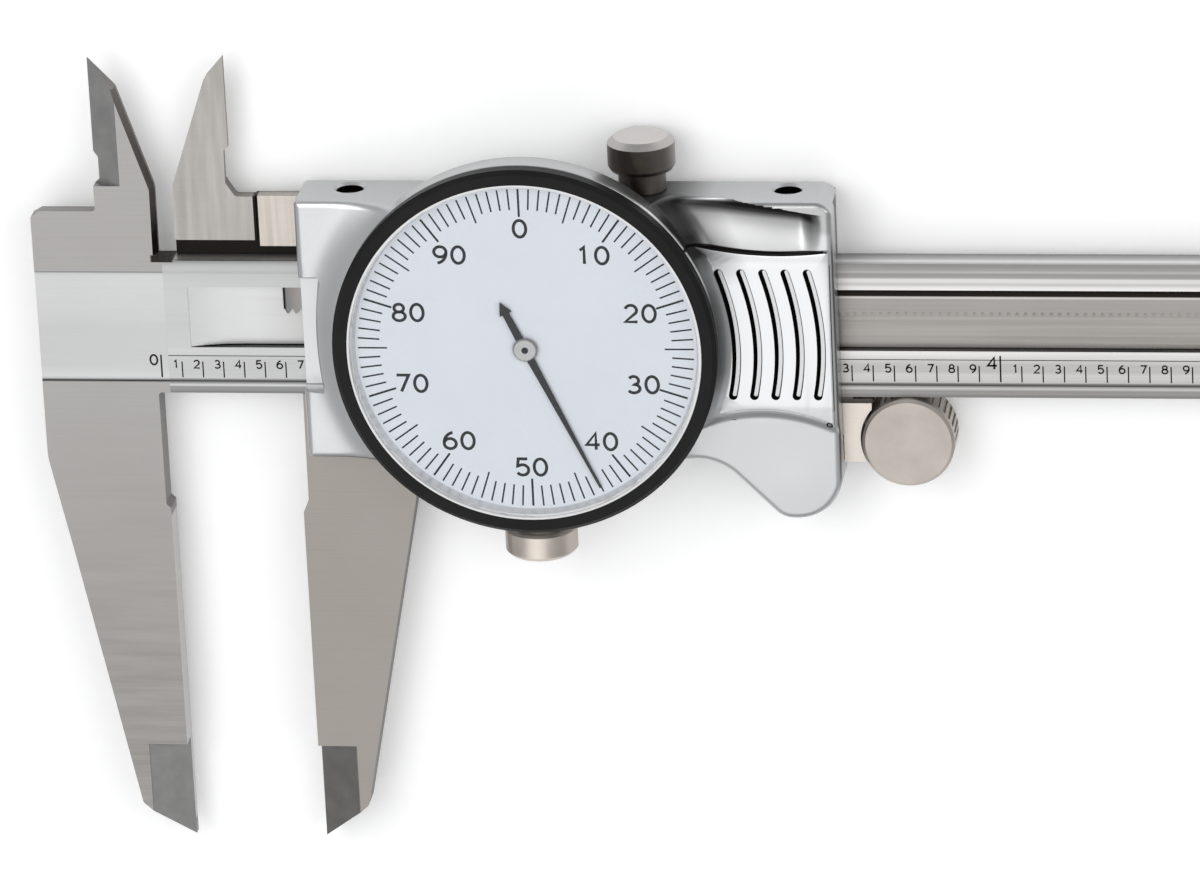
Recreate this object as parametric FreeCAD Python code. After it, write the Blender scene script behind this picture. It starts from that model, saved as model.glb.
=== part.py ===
import FreeCAD, Part
import math
import os

# A dial caliper for 0 to 8 inches, lying on its back with the jaws a little open.
# Millimetres. The drawing frame: X = 0 on the fixed jaw's measuring face, Y = 0 on the
# beam's centre line, Z = 0 on the beam's graduated face, +X the way the jaws open,
# +Y towards the inside jaws, +Z out of the dial. Every piece is moved at the end, so that
# the row's origin lies under the middle of the whole caliper, on the plane it rests on.

os.makedirs("parts", exist_ok=True)
V = FreeCAD.Vector

# Measuring range and opening
inch = 25.4
measuring_range = 8 * inch
dial_turn = inch / 10
turns_shown = 6.43
opening = turns_shown * dial_turn

# Clearances
slide_gap = 0.05
back_gap = 0.10
turn_gap = 0.03
fit_gap = 0.05

# Beam
beam_width = 17.0
beam_thickness = 3.5
land_width = 1.5
band_depth = 0.1
groove_top = 5.1
groove_width = 7.75
groove_depth = 1.2
groove_start = 10.3
groove_cutter = 20.0
edge_break = 0.4
beam_overrun = 13.1
stop_screw_gap = 2.0

# Fixed jaws
jaw_reach = 68.0
jaw_back = 14.8
jaw_top = 14.8
jaw_tip_back = 6.0
jaw_tip_rise = 5.1
jaw_waist = 12.5
jaw_waist_level = 28.6
jaw_waist_radius = 20.0
relief_depth = 23.6
relief = 0.55
nib_length = 13.0
nib_width = 4.8
nib_bevel = 2.3
blade_reach = 33.8
blade_edge = 6.83
blade_root_x = 0.42
blade_root_level = 17.6
blade_shoulder_back = 3.6
blade_shoulder_drop = 3.5
blade_chamfer_width = 0.5
blade_chamfer_depth = 1.1
blade_split = 1.75
split_gap = 0.10

# Slider frame
frame_left = 17.9
frame_right = 82.0
rail_top = 0.2
upper_rail_outer = 16.2
gib_thickness = 1.2
lower_rail_outer = 13.5
rear_wall = 1.7
tongue_length = 5.5
foot_drop = 2.0
foot_recess = 0.5
seam_width = 0.3
seam_depth = 0.4
jaw_width = 13.95
moving_tip_rise = 4.1
moving_tip_width = 5.9

# Depth rod in the back of the beam
rod_width = 3.0
rod_thickness = 1.25
rod_groove_start = 40.0
rod_groove_depth = 1.35
rod_fixed_at = 60.0

# Dial housing
dial_x = 45.6
cup_radius = 23.1
cup_top = 6.4
housing_face = 3.4
housing_top = 17.4
housing_bottom = 15.6
housing_right = 82.5
skirt_depth = 4.0
cavity_left = 22.6
cavity_right = 70.0
cavity_top = 2.55
cup_wall = 1.2
bowl_radius = 17.0
shoulder_reach = 5.5
shoulder_height = 2.0
finger_rest_reach = 23.4
finger_rest_radius = 5.6
scoop_radius = 6.0
scoop_left = (64.0, 17.2, 3.3)
scoop_right = (82.0, 13.3, 4.9)
finger_rest_drop = 0.9
pad_rise = 0.35
pad_left = 66.8
pad_slots = 5
slot_pitch = 2.65
slot_width = 0.9
slot_depth = 0.5

# Bezel, crystal and dial
bezel_height = 2.0
bezel_rim = 1.76
spigot_depth = 1.5
bezel_lift = 0.1
spring_wire = 0.4
dial_thickness = 0.4
crystal_thickness = 0.6
crystal_inset = 0.1
dial_drop = 0.4
spacer_rim = 0.3
spacer_foot = 0.8

# Gear train
rack_start = 15.35
rack_tip_line = 1.65
rack_thickness = 0.75
rack_overrun = 8.0
rack_teeth_up = 0.19
pinion_teeth = 10
wheel_teeth = 80
centre_teeth = 20
wheel_module = 0.25
wheel_thickness = 0.5
pinion_thickness = 0.7
backlash = 0.12
pressure_angle = math.radians(20)
arbor_radius = 0.45
centre_arbor_radius = 0.6
bush_radius = 1.2
plate_thickness = 0.8
bridge_level = 2.9
wheel_level = 1.6
spring_turns = 4
spring_ribbon = 0.15
spring_growth = 0.4
spring_height = 0.3
plate_screw_reach = 18.0
pillar_reach_x = 4.2
pillar_reach_y = 9.3
bridge_half_width = 3.0
bridge_end = 4.0
bridge_rim = 2.0

# Pointer
pointer_end_gap = 1.84
pointer_tail = 6.6
pointer_width = 1.0
pointer_thickness = 0.2
hub_radius = 1.5

# Screws and knobs
screw_level = 1.5
gib_screws_x = (24.1, 76.8)
gib_screw_radius = 1.5
lock_screw_x = 59.4
lock_head_radius = 4.05
lock_neck_radius = 2.85
lock_screw_top = 24.3
clamp_screw_x = 45.8
clamp_level = 2.6
clamp_head_radius = 4.4
clamp_head_length = 3.4
clamp_boss_radius = 3.0
clamp_boss_length = 0.5
clamp_neck_length = 0.4
housing_screw_inset = 2.6
cover_thickness = 0.8

# Thumb roller
roller_radius = 5.55
roller_x = 90.4
roller_thickness = 5.9
roller_knurls = 36
knurl_depth = 0.25
axle_radius = 1.2
bracket_thickness = 1.0
bracket_width = 4.0
bracket_screw_length = 4.8

# Worked out from the values above
half_beam = beam_width / 2
beam_back = -beam_thickness
groove_bottom = groove_top - groove_width
groove_floor = -groove_depth
wall_front = beam_back - back_gap
frame_back = wall_front - rear_wall
rest_level = frame_back - cover_thickness
upper_rail_inner = half_beam + gib_thickness + 2 * slide_gap
lower_rail_inner = half_beam + slide_gap
slider_travel_left = measuring_range - opening
blade_plane = -blade_split
moving_blade_front = blade_plane - split_gap
bezel_bottom = cup_top + bezel_lift
bezel_top = bezel_bottom + bezel_height
dial_back = bezel_bottom + bezel_lift - dial_drop
dial_front = dial_back + dial_thickness
crystal_front = bezel_top - crystal_inset
crystal_back = crystal_front - crystal_thickness
bezel_opening = cup_radius - bezel_rim
spigot_radius = cup_radius - cup_wall
crystal_radius = bezel_opening - spacer_rim
pointer_reach = bezel_opening - pointer_end_gap
cup_bore = spigot_radius + 0.1
cup_inner = spigot_radius - 0.9
gear_ratio = wheel_teeth / centre_teeth
rack_pitch = dial_turn * gear_ratio / pinion_teeth
pinion_radius = rack_pitch * pinion_teeth / (2 * math.pi)
rack_pitch_line = rack_tip_line + rack_teeth_up
pinion_y = rack_pitch_line - pinion_radius
gear_centres = wheel_module * (wheel_teeth + centre_teeth) / 2
pinion_x = dial_x - math.sqrt(gear_centres ** 2 - pinion_y ** 2)
take_up_x = dial_x + gear_centres
plate_top = rail_top + plate_thickness
bracket_screw_y = -lower_rail_outer + 2.4
bracket_screw_z = -screw_level - 0.7
roller_y = -half_beam - slide_gap - roller_radius
stop_screw_x = frame_right + slider_travel_left + stop_screw_gap
beam_length = stop_screw_x + beam_overrun
boss_end = cup_radius + clamp_boss_length
clamp_head_top = boss_end + 0.1 + clamp_neck_length
clamp_screw_end = clamp_head_top + clamp_head_length

# The row's origin: under the middle of the whole caliper, on the plane it lies on
end_of_rod = beam_length + opening
middle_x = (end_of_rod - jaw_back) / 2
middle_y = (blade_reach - jaw_reach) / 2
to_row_frame = V(-middle_x, -middle_y, -rest_level)


def save(name, shape):
    """Move a piece into the row's frame and write it."""
    moved = shape.copy()
    moved.translate(to_row_frame)
    moved.exportStep("parts/" + name + ".step")


def box(x0, x1, y0, y1, z0, z1):
    """A block between two corners."""
    return Part.makeBox(x1 - x0, y1 - y0, z1 - z0, V(x0, y0, z0))


def post(x, y, radius, z0, z1):
    """A cylinder along Z."""
    return Part.makeCylinder(radius, z1 - z0, V(x, y, z0), V(0, 0, 1))


def peg(x, z, radius, y0, y1):
    """A cylinder along Y."""
    return Part.makeCylinder(radius, y1 - y0, V(x, y0, z), V(0, 1, 0))


def pin(y, z, radius, x0, x1):
    """A cylinder along X."""
    return Part.makeCylinder(radius, x1 - x0, V(x0, y, z), V(1, 0, 0))


def fuse(pieces):
    """One solid out of pieces that meet, with the seams between them removed."""
    return pieces[0].multiFuse(pieces[1:]).removeSplitter()


def outline(corners):
    """A closed wire through (x, y, radius) corners; a corner with a radius gets a tangent arc."""
    edges = []
    count = len(corners)
    starts = []
    ends = []
    for i in range(count):
        x, y, radius = corners[i]
        before = corners[i - 1]
        after = corners[(i + 1) % count]
        here = V(x, y, 0)
        back = V(before[0] - x, before[1] - y, 0).normalize()
        ahead = V(after[0] - x, after[1] - y, 0).normalize()
        if radius == 0:
            starts.append(here)
            ends.append(here)
            continue
        half = back.getAngle(ahead) / 2
        cut = radius / math.tan(half)
        first = here + back * cut
        last = here + ahead * cut
        bisector = (back + ahead).normalize()
        middle = here + bisector * (radius / math.sin(half) - radius)
        edges.append(Part.Arc(first, middle, last).toShape())
        starts.append(first)
        ends.append(last)
    for i in range(count):
        a = ends[i]
        b = starts[(i + 1) % count]
        if a.distanceToPoint(b) > 1e-6:
            edges.append(Part.LineSegment(a, b).toShape())
    return Part.Wire(Part.__sortEdges__(edges))


def plate(corners, z0, z1):
    """A flat piece with the given outline, from z0 to z1."""
    face = Part.Face(outline(corners))
    solid = face.extrude(V(0, 0, z1 - z0))
    solid.translate(V(0, 0, z0))
    return solid


def polygon_plate(points, z0, z1):
    """A flat piece with straight sides through (x, y) points."""
    closed = [V(x, y, z0) for x, y in points]
    closed.append(closed[0])
    return Part.Face(Part.makePolygon(closed)).extrude(V(0, 0, z1 - z0))


def bar_along_y(points, y0, y1):
    """A straight-sided section given as (x, z) points, carried from y0 to y1."""
    closed = [V(x, y0, z) for x, z in points]
    closed.append(closed[0])
    return Part.Face(Part.makePolygon(closed)).extrude(V(0, y1 - y0, 0))


def chamfer_along(start, end, width, depth):
    """The wedge that takes a width by depth chamfer off the right side of the line from start to end."""
    x0, y0 = start
    x1, y1 = end
    length = math.hypot(x1 - x0, y1 - y0)
    section = [V(-2 * width, 0, depth), V(width, 0, -2 * depth), V(width, 0, depth), V(-2 * width, 0, depth)]
    wedge = Part.Face(Part.makePolygon(section)).extrude(V(0, length, 0))
    wedge.rotate(V(0, 0, 0), V(0, 0, 1), math.degrees(math.atan2(y1 - y0, x1 - x0)) - 90)
    wedge.translate(V(x0, y0, 0))
    return wedge


def turned(profile, x, y):
    """A ring or disc: (radius, z) points turned about a Z axis through x, y."""
    closed = [V(x + r, y, z) for r, z in profile]
    closed.append(closed[0])
    face = Part.Face(Part.makePolygon(closed))
    return face.revolve(V(x, y, 0), V(0, 0, 1), 360)


def turned_about_y(profile, x, z):
    """A knob: (radius, y) points turned about a Y axis through x, z."""
    closed = [V(x + r, y, z) for r, y in profile]
    closed.append(closed[0])
    face = Part.Face(Part.makePolygon(closed))
    return face.revolve(V(x, 0, z), V(0, 1, 0), 360)


def gear_points(x, y, teeth, pitch_radius, addendum, dedendum, tooth_angle, radii_steps):
    """Outline points of an involute gear whose first tooth points along tooth_angle."""
    base = pitch_radius * math.cos(pressure_angle)
    root = pitch_radius - dedendum
    tip = pitch_radius + addendum
    pitch = 2 * math.pi * pitch_radius / teeth
    half_at_pitch = (pitch - backlash) / 4 / pitch_radius
    involute_at_pitch = math.tan(pressure_angle) - pressure_angle
    flank = []
    for k in range(radii_steps + 1):
        radius = root + (tip - root) * k / radii_steps
        slope = math.acos(min(1.0, base / max(radius, base)))
        half = half_at_pitch + involute_at_pitch - (math.tan(slope) - slope)
        flank.append((radius, half))
    points = []
    for i in range(teeth):
        centre = tooth_angle + 2 * math.pi * i / teeth
        for radius, half in flank:
            angle = centre - half
            points.append((x + radius * math.cos(angle), y + radius * math.sin(angle)))
        for radius, half in reversed(flank):
            angle = centre + half
            points.append((x + radius * math.cos(angle), y + radius * math.sin(angle)))
    return points


def screw_up(x, y, head_radius, head_height, shank_radius, z_head, z_end):
    """A slotted cheese-head screw along Z, its head at z_head and its end at z_end."""
    way = 1 if z_end > z_head else -1
    z_under = z_head + way * head_height
    head = post(x, y, head_radius, min(z_head, z_under), max(z_head, z_under))
    shank = post(x, y, shank_radius, min(z_under, z_end), max(z_under, z_end))
    slot_floor = z_head + way * head_height * 0.4
    slot = box(x - head_radius, x + head_radius, y - 0.15, y + 0.15,
               min(z_head, slot_floor), max(z_head, slot_floor))
    return head.fuse(shank).removeSplitter().cut(slot)


# Where the screws stand
housing_screw_spots = [
    (frame_left + housing_screw_inset + 0.4, upper_rail_outer - 3.2),
    (frame_right - housing_screw_inset + 0.5, upper_rail_outer - 3.2),
    (frame_left + housing_screw_inset + 0.4, -lower_rail_outer + 2.6),
    (frame_right - bracket_screw_length - 1.6, -lower_rail_outer + 2.6),
]
cover_screw_spots = [
    (frame_left + 9.5, upper_rail_outer - 3.2),
    (frame_right - 9.5, upper_rail_outer - 3.2),
    (frame_left + 9.5, -lower_rail_outer + 2.6),
    (frame_right - 9.5, -lower_rail_outer + 2.6),
]
plate_screw_spots = [
    (dial_x - plate_screw_reach, upper_rail_inner + 1.2),
    (dial_x + plate_screw_reach, upper_rail_inner + 1.2),
    (dial_x - plate_screw_reach, -lower_rail_inner - 1.4),
    (dial_x + plate_screw_reach, -lower_rail_inner - 1.4),
]
pillar_spots = [(dial_x + i * pillar_reach_x, j * pillar_reach_y) for i in (-1, 1) for j in (-1, 1)]
rod_screw_spots = [(rod_fixed_at + 2.0, 0.0), (rod_fixed_at + 6.0, 0.0)]
stop_screw_spots = [(stop_screw_x, -5.5), (stop_screw_x, 5.5)]
arbor_spots = [(pinion_x, pinion_y), (dial_x, 0.0), (take_up_x, 0.0)]


def beam():
    """The beam with both fixed jaws, one ground steel piece."""
    shape = plate([
        (beam_length, half_beam, edge_break),
        (0.35, half_beam, 0.8),
        (blade_root_x, blade_root_level, 4.0),
        (-blade_shoulder_back, blade_reach - blade_shoulder_drop, 1.0),
        (-blade_edge, blade_reach, 0),
        (-blade_edge, 22.0, 0),
        (-6.25, 21.3, 0.3),
        (-6.25, 18.5, 0.3),
        (-blade_edge, 18.0, 0),
        (-blade_edge, jaw_top, 0.4),
        (-jaw_back + 1.2, jaw_top, 0.4),
        (-jaw_back, jaw_top - 0.7, 0.4),
        (-jaw_back, -17.0, 8.0),
        (-jaw_waist, -jaw_waist_level, jaw_waist_radius),
        (-jaw_tip_back, -jaw_reach + jaw_tip_rise, 0.6),
        (-jaw_tip_back + 1.3, -jaw_reach + jaw_tip_rise - 1.2, 0.8),
        (0, -jaw_reach, 0),
        (0, -relief_depth, 0),
        (-relief, -relief_depth + 0.5, 0.3),
        (-relief, -half_beam, 0.4),
        (beam_length, -half_beam, edge_break),
    ], beam_back, 0)
    band = box(-jaw_back - 1, beam_length + 1, -half_beam + land_width, half_beam - land_width,
               -band_depth, 1)
    groove = box(groove_start, beam_length + 1, groove_bottom, groove_top, groove_floor, 1)
    run_out = peg(groove_start, groove_floor + groove_cutter, groove_cutter,
                  groove_bottom, groove_top)
    behind_blade = box(-jaw_back - 1, 2, half_beam, blade_reach + 1,
                       beam_back - 1, blade_plane)
    blade_shoulder = (-blade_shoulder_back, blade_reach - blade_shoulder_drop)
    blade_root = (blade_root_x, blade_root_level)
    root_chamfer = chamfer_along((0.35, half_beam + 0.7), blade_root, blade_chamfer_width, blade_chamfer_depth)
    blade_chamfer = chamfer_along(blade_root, blade_shoulder, blade_chamfer_width, blade_chamfer_depth)
    bevel = bar_along_y([(-3.6, 0), (-3.6, 1), (-blade_edge - 1, 1), (-blade_edge - 1, -1.9)],
                        18.0, blade_reach + 1)
    nib = bar_along_y([(-nib_width, 0), (-nib_width, 1), (1, 1),
                       (1, -nib_bevel * (nib_width + 1) / nib_width)],
                      -jaw_reach - 1, -jaw_reach + nib_length)
    rod_groove = box(rod_groove_start, beam_length + 1, -rod_width / 2 - fit_gap,
                     rod_width / 2 + fit_gap, beam_back - 1, beam_back + rod_groove_depth)
    cuts = [band, groove, run_out, behind_blade, root_chamfer, blade_chamfer, bevel, nib, rod_groove]
    for x, y in stop_screw_spots:
        cuts.append(post(x, y, 0.8, beam_back - 1, beam_back + 1.6))
    for tool in cuts:
        shape = shape.cut(tool)
    return shape


def rack():
    """The toothed strip in the top of the beam's groove, teeth towards the pinion."""
    length = pinion_x - rack_start + slider_travel_left + rack_overrun
    teeth = int(length / rack_pitch)
    end = rack_start + teeth * rack_pitch
    root_line = rack_pitch_line + 0.38
    tilt = math.tan(pressure_angle)
    half = (rack_pitch - backlash) / 4
    half_tip = half - rack_teeth_up * tilt
    half_root = half + (root_line - rack_pitch_line) * tilt
    points = [(end, groove_top), (rack_start, groove_top), (rack_start, root_line)]
    for i in range(teeth):
        x = rack_start + (i + 0.5) * rack_pitch
        points.append((x - half_root, root_line))
        points.append((x - half_tip, rack_tip_line))
        points.append((x + half_tip, rack_tip_line))
        points.append((x + half_root, root_line))
    points.append((end, root_line))
    return polygon_plate(points, groove_floor, groove_floor + rack_thickness)


def end_stop_screws():
    """Two screws in the beam's back that stop the slider at the end of its travel."""
    screws = [screw_up(x, y, 1.4, 1.4, 0.8, beam_back - 1.4, beam_back + 1.5)
              for x, y in stop_screw_spots]
    return Part.makeCompound(screws)


def slider_frame():
    """The steel slider: rear wall, two rails round the beam, outside jaw and inside blade."""
    wall = box(frame_left, frame_right, -lower_rail_outer, upper_rail_outer,
               frame_back, wall_front)
    upper_rail = box(frame_left, frame_right, upper_rail_inner, upper_rail_outer,
                     wall_front, rail_top)
    lower_rail = box(frame_left, frame_right, -lower_rail_outer, -lower_rail_inner,
                     wall_front, rail_top)
    tongue_left = frame_left - tongue_length
    tongue = box(tongue_left, frame_left, upper_rail_inner, upper_rail_outer,
                 beam_back, moving_blade_front + 0.1)
    edge = opening
    jaw = plate([
        (edge + 0.8, -lower_rail_inner, 0),
        (edge + 0.7, -relief_depth + 1.2, 0.5),
        (edge, -relief_depth - 0.4, 0.4),
        (edge, -jaw_reach, 0),
        (edge + moving_tip_width - 1.1, -jaw_reach + moving_tip_rise, 0.8),
        (edge + moving_tip_width, -jaw_reach + moving_tip_rise + 1.0, 0.6),
        (edge + jaw_width, -22.0, 3.0),
        (edge + jaw_width, -lower_rail_inner, 0),
    ], beam_back, 0)
    nib = bar_along_y([(edge + nib_width, 0), (edge + nib_width, 1), (edge - 1, 1),
                       (edge - 1, -nib_bevel * (nib_width + 1) / nib_width)],
                      -jaw_reach - 1, -jaw_reach + nib_length)
    jaw = jaw.cut(nib)
    measuring_edge = opening - blade_edge
    blade = plate([
        (tongue_left + 0.5, upper_rail_outer - 0.15, 0),
        (measuring_edge + 0.5, upper_rail_outer - 0.15, 0.7),
        (measuring_edge - 0.6, upper_rail_outer + 1.6, 0.5),
        (measuring_edge - 0.55, 21.9, 0),
        (measuring_edge, 22.4, 0),
        (measuring_edge, blade_reach, 0),
        (measuring_edge - 2.4, blade_reach - 2.8, 2.0),
        (measuring_edge - 7.0, 17.6, 2.0),
        (measuring_edge - 7.2, half_beam + foot_drop, 0.3),
        (tongue_left + 0.5, half_beam + foot_drop, 0),
    ], beam_back, moving_blade_front)
    rear_bevel = bar_along_y([(measuring_edge - 3.2, beam_back), (measuring_edge - 3.2, beam_back - 1),
                              (measuring_edge + 1, beam_back - 1), (measuring_edge + 1, beam_back + 1.3)],
                             18.0, blade_reach + 1)
    blade = blade.cut(rear_bevel)
    foot = box(measuring_edge - 7.15, frame_left, half_beam + slide_gap, half_beam + foot_drop + 0.1,
               beam_back, moving_blade_front - foot_recess)
    shape = fuse([wall, upper_rail, lower_rail, tongue, jaw, blade, foot])
    seam = box(tongue_left, tongue_left + seam_width, half_beam + foot_drop - 1, upper_rail_outer + 1,
               moving_blade_front + 0.1 - seam_depth, 0)
    cuts = [seam]
    for x in gib_screws_x:
        cuts.append(peg(x, -screw_level, gib_screw_radius, upper_rail_inner - 1, upper_rail_outer + 1))
    cuts.append(peg(lock_screw_x, -screw_level, 1.5 + turn_gap, upper_rail_inner - 1,
                    upper_rail_outer + 1))
    for x, y in housing_screw_spots:
        cuts.append(post(x, y, 0.9, frame_back - 1, rail_top + 1))
        cuts.append(post(x, y, 1.6, frame_back - 1, frame_back + 1.0))
    for x, y in cover_screw_spots:
        cuts.append(post(x, y, 0.7, frame_back - 1, frame_back + 1.6))
    for x, y in rod_screw_spots:
        cuts.append(post(x, y, 0.7, frame_back - 1, wall_front + 1))
        cuts.append(post(x, y, 1.3, frame_back - 1, frame_back + 0.8))
    for x, y in plate_screw_spots:
        cuts.append(post(x, y, 0.6, rail_top - 2.0, rail_top + 1))
    cuts.append(pin(bracket_screw_y, bracket_screw_z, 0.9, frame_right - bracket_screw_length - 0.2,
                    frame_right + 1))
    for tool in cuts:
        shape = shape.cut(tool)
    return shape


def housing_outline():
    """The dial housing's outline with the finger rest at its lower right."""
    return [
        (frame_left, housing_top, 0.8),
        (housing_right - 0.6, housing_top, 2.0),
        (housing_right, -finger_rest_reach, finger_rest_radius),
        (housing_right - finger_rest_radius - 1.7, -finger_rest_reach, 3.0),
        (housing_right - finger_rest_radius - 9.2, -housing_bottom - 0.2, 7.0),
        (frame_left, -housing_bottom, 0.6),
    ]


def grip_pad(z0, z1):
    """The raised pad between the dial and the right end, with hollow upper and lower edges."""
    right = housing_right - 0.8
    edges = [
        Part.Arc(V(pad_left, 10.9, z0), V((pad_left + right) / 2, 10.2, z0), V(right, 10.8, z0)).toShape(),
        Part.LineSegment(V(right, 10.8, z0), V(right, -11.0, z0)).toShape(),
        Part.Arc(V(right, -11.0, z0), V((pad_left + right) / 2, -8.8, z0), V(pad_left, -9.8, z0)).toShape(),
        Part.LineSegment(V(pad_left, -9.8, z0), V(pad_left, 10.9, z0)).toShape(),
    ]
    return Part.Face(Part.Wire(edges)).extrude(V(0, 0, z1 - z0))


def pad_slot(x, z0, z1):
    """One curved slot of the grip pad, bowed to the right."""
    w = slot_width / 2
    left = Part.Arc(V(x - w, 8.6, z0), V(x + 1.7 - w, 0.6, z0), V(x + 1.2 - w, -7.0, z0)).toShape()
    foot = Part.Arc(V(x + 1.2 - w, -7.0, z0), V(x + 1.2, -7.0 - w, z0), V(x + 1.2 + w, -7.0, z0)).toShape()
    right = Part.Arc(V(x + 1.2 + w, -7.0, z0), V(x + 1.7 + w, 0.6, z0), V(x + w, 8.6, z0)).toShape()
    head = Part.Arc(V(x + w, 8.6, z0), V(x, 8.6 + w, z0), V(x - w, 8.6, z0)).toShape()
    return Part.Face(Part.Wire([left, foot, right, head])).extrude(V(0, 0, z1 - z0))


def scoop():
    """The round hollow above the pad, deeper towards the cup, that stops short of the right end."""
    x0, y0, z0 = scoop_left
    x1, y1, z1 = scoop_right
    start = V(x0, y0, housing_face + z0)
    way = V(x1, y1, housing_face + z1) - start
    hollow = Part.makeCylinder(scoop_radius, way.Length + 3, start, way)
    return hollow.common(box(x0 - 5, housing_right - 1.6, y1 - scoop_radius - 1, y0 + scoop_radius + 1,
                             rail_top, housing_face + z1 + scoop_radius))


def dial_housing():
    """The cast housing: cover over the rails, dial cup with blended shoulder, pad, finger rest."""
    body = plate(housing_outline(), -skirt_depth, housing_face)
    under = box(frame_left - 1, housing_right + 1, -lower_rail_outer - slide_gap,
                upper_rail_outer + slide_gap, -skirt_depth - 1, rail_top)
    jaw_way = box(frame_left - 1, opening + jaw_width + 1, -housing_bottom - 8, -lower_rail_outer + 1,
                  -skirt_depth - 1, rail_top)
    body = body.cut(under).cut(jaw_way)
    body = body.cut(scoop())
    rest_level_top = housing_face - finger_rest_drop
    rest_cut = box(pad_left - 6, housing_right + 1, -finger_rest_reach - 1, -8.8,
                   rest_level_top, housing_face + 1)
    body = body.cut(rest_cut)
    cup = turned([(0, rail_top), (bowl_radius, rail_top), (cup_radius - 0.8, rail_top + 2.0),
                  (cup_radius, rail_top + 3.2), (cup_radius, cup_top), (0, cup_top)], dial_x, 0)
    shoulder = turned([(cup_radius - 1, rail_top + 1), (cup_radius + shoulder_reach, rail_top + 1),
                       (cup_radius + shoulder_reach, housing_face),
                       (cup_radius + shoulder_reach * 0.45, housing_face + shoulder_height * 0.2),
                       (cup_radius + shoulder_reach * 0.15, housing_face + shoulder_height * 0.55),
                       (cup_radius, housing_face + shoulder_height),
                       (cup_radius - 1, housing_face + shoulder_height)], dial_x, 0)
    shoulder = shoulder.common(plate(housing_outline(), rail_top, housing_face + shoulder_height))
    boss = peg(clamp_screw_x, clamp_level, clamp_boss_radius, -boss_end, -cup_inner)
    lip = box(frame_left - 0.5, frame_left + 1.7, -half_beam + land_width, half_beam - 0.8,
              rail_top, rail_top + 1.0)
    pad = grip_pad(rail_top, housing_face + pad_rise)
    shape = fuse([body, cup, shoulder, boss, pad, lip])
    lip_step = box(frame_left - 1, frame_left + 1.7, -half_beam + land_width, half_beam - 0.8,
                   rail_top + 1.0, housing_face + 1)
    plate_room = box(cavity_left, cavity_right, -lower_rail_outer + 1.9, upper_rail_outer - 4.1,
                     rail_top - 1, plate_top + 0.7)
    wheel_reach = wheel_module * wheel_teeth / 2 + 0.6
    wheel_room = box(cavity_left, cavity_right, -wheel_reach, wheel_reach, rail_top, cavity_top)
    cup_room = post(dial_x, 0, cup_inner, cavity_top - 0.1, cup_top + 1)
    bore = post(dial_x, 0, cup_bore, bezel_bottom - spigot_depth - 0.1, cup_top + 1)
    wire_low = bezel_bottom - spigot_depth + 0.35
    wire_groove = turned([(cup_bore - 0.2, wire_low), (cup_bore + 0.35, wire_low),
                          (cup_bore + 0.35, wire_low + spring_wire + 2 * fit_gap),
                          (cup_bore - 0.2, wire_low + spring_wire + 2 * fit_gap)], dial_x, 0)
    cuts = [lip_step, plate_room, wheel_room, cup_room, bore, wire_groove]
    first_slot = pad_left + 1.9
    for i in range(pad_slots):
        cuts.append(pad_slot(first_slot + i * slot_pitch, housing_face + pad_rise - slot_depth,
                             housing_face + 2))
    for x in gib_screws_x:
        cuts.append(peg(x, -screw_level, gib_screw_radius + 0.1, upper_rail_outer - 1, housing_top + 1))
    cuts.append(peg(lock_screw_x, -screw_level, 1.5 + 0.1, upper_rail_outer - 1, housing_top + 1))
    for x, y in housing_screw_spots:
        cuts.append(post(x, y, 0.9, rail_top - 1, rail_top + 1.6))
    cuts.append(peg(clamp_screw_x, clamp_level, 1.25 + turn_gap, -cup_radius - 3, -cup_inner + 1))
    cuts.append(box(clamp_screw_x - 1.6, clamp_screw_x + 1.6, -cup_radius + 0.15, -cup_inner + 1,
                    clamp_level - 1.6, cup_top + 1))
    for tool in cuts:
        shape = shape.cut(tool)
    return shape


def housing_screws():
    """Four screws through the frame into the housing."""
    screws = [screw_up(x, y, 1.5, 0.9, 0.9, frame_back + 0.1, rail_top + 1.5)
              for x, y in housing_screw_spots]
    return Part.makeCompound(screws)


def gib():
    """The bearing strip between the upper rail and the beam."""
    low = half_beam + slide_gap
    return box(gib_screws_x[0] - 2.5, gib_screws_x[1] + 2.5, low, low + gib_thickness,
               beam_back + 0.2, -0.2)


def gib_screws():
    """Two socket set screws that press the gib."""
    screws = []
    for x in gib_screws_x:
        body = peg(x, -screw_level, gib_screw_radius - turn_gap, upper_rail_inner - slide_gap,
                   upper_rail_outer - 0.8)
        socket = peg(x, -screw_level, 0.7, upper_rail_outer - 2.4, upper_rail_outer)
        screws.append(body.cut(socket))
    return Part.makeCompound(screws)


def rear_cover():
    """The thin plate over the slider's back."""
    shape = plate([
        (frame_left + 1.0, upper_rail_outer - 0.6, 2.0),
        (frame_right - 1.0, upper_rail_outer - 0.6, 2.0),
        (frame_right - 1.0, -lower_rail_outer + 0.6, 2.0),
        (frame_left + 1.0, -lower_rail_outer + 0.6, 2.0),
    ], rest_level, frame_back)
    for x, y in cover_screw_spots:
        shape = shape.cut(post(x, y, 0.75, rest_level - 1, frame_back + 1))
        shape = shape.cut(post(x, y, 1.35, rest_level - 1, rest_level + 0.5))
    return shape


def rear_cover_screws():
    """Four small screws, their heads just below the cover's face."""
    screws = [screw_up(x, y, 1.3, 0.4, 0.68, rest_level + 0.1, frame_back + 1.5)
              for x, y in cover_screw_spots]
    return Part.makeCompound(screws)


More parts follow.
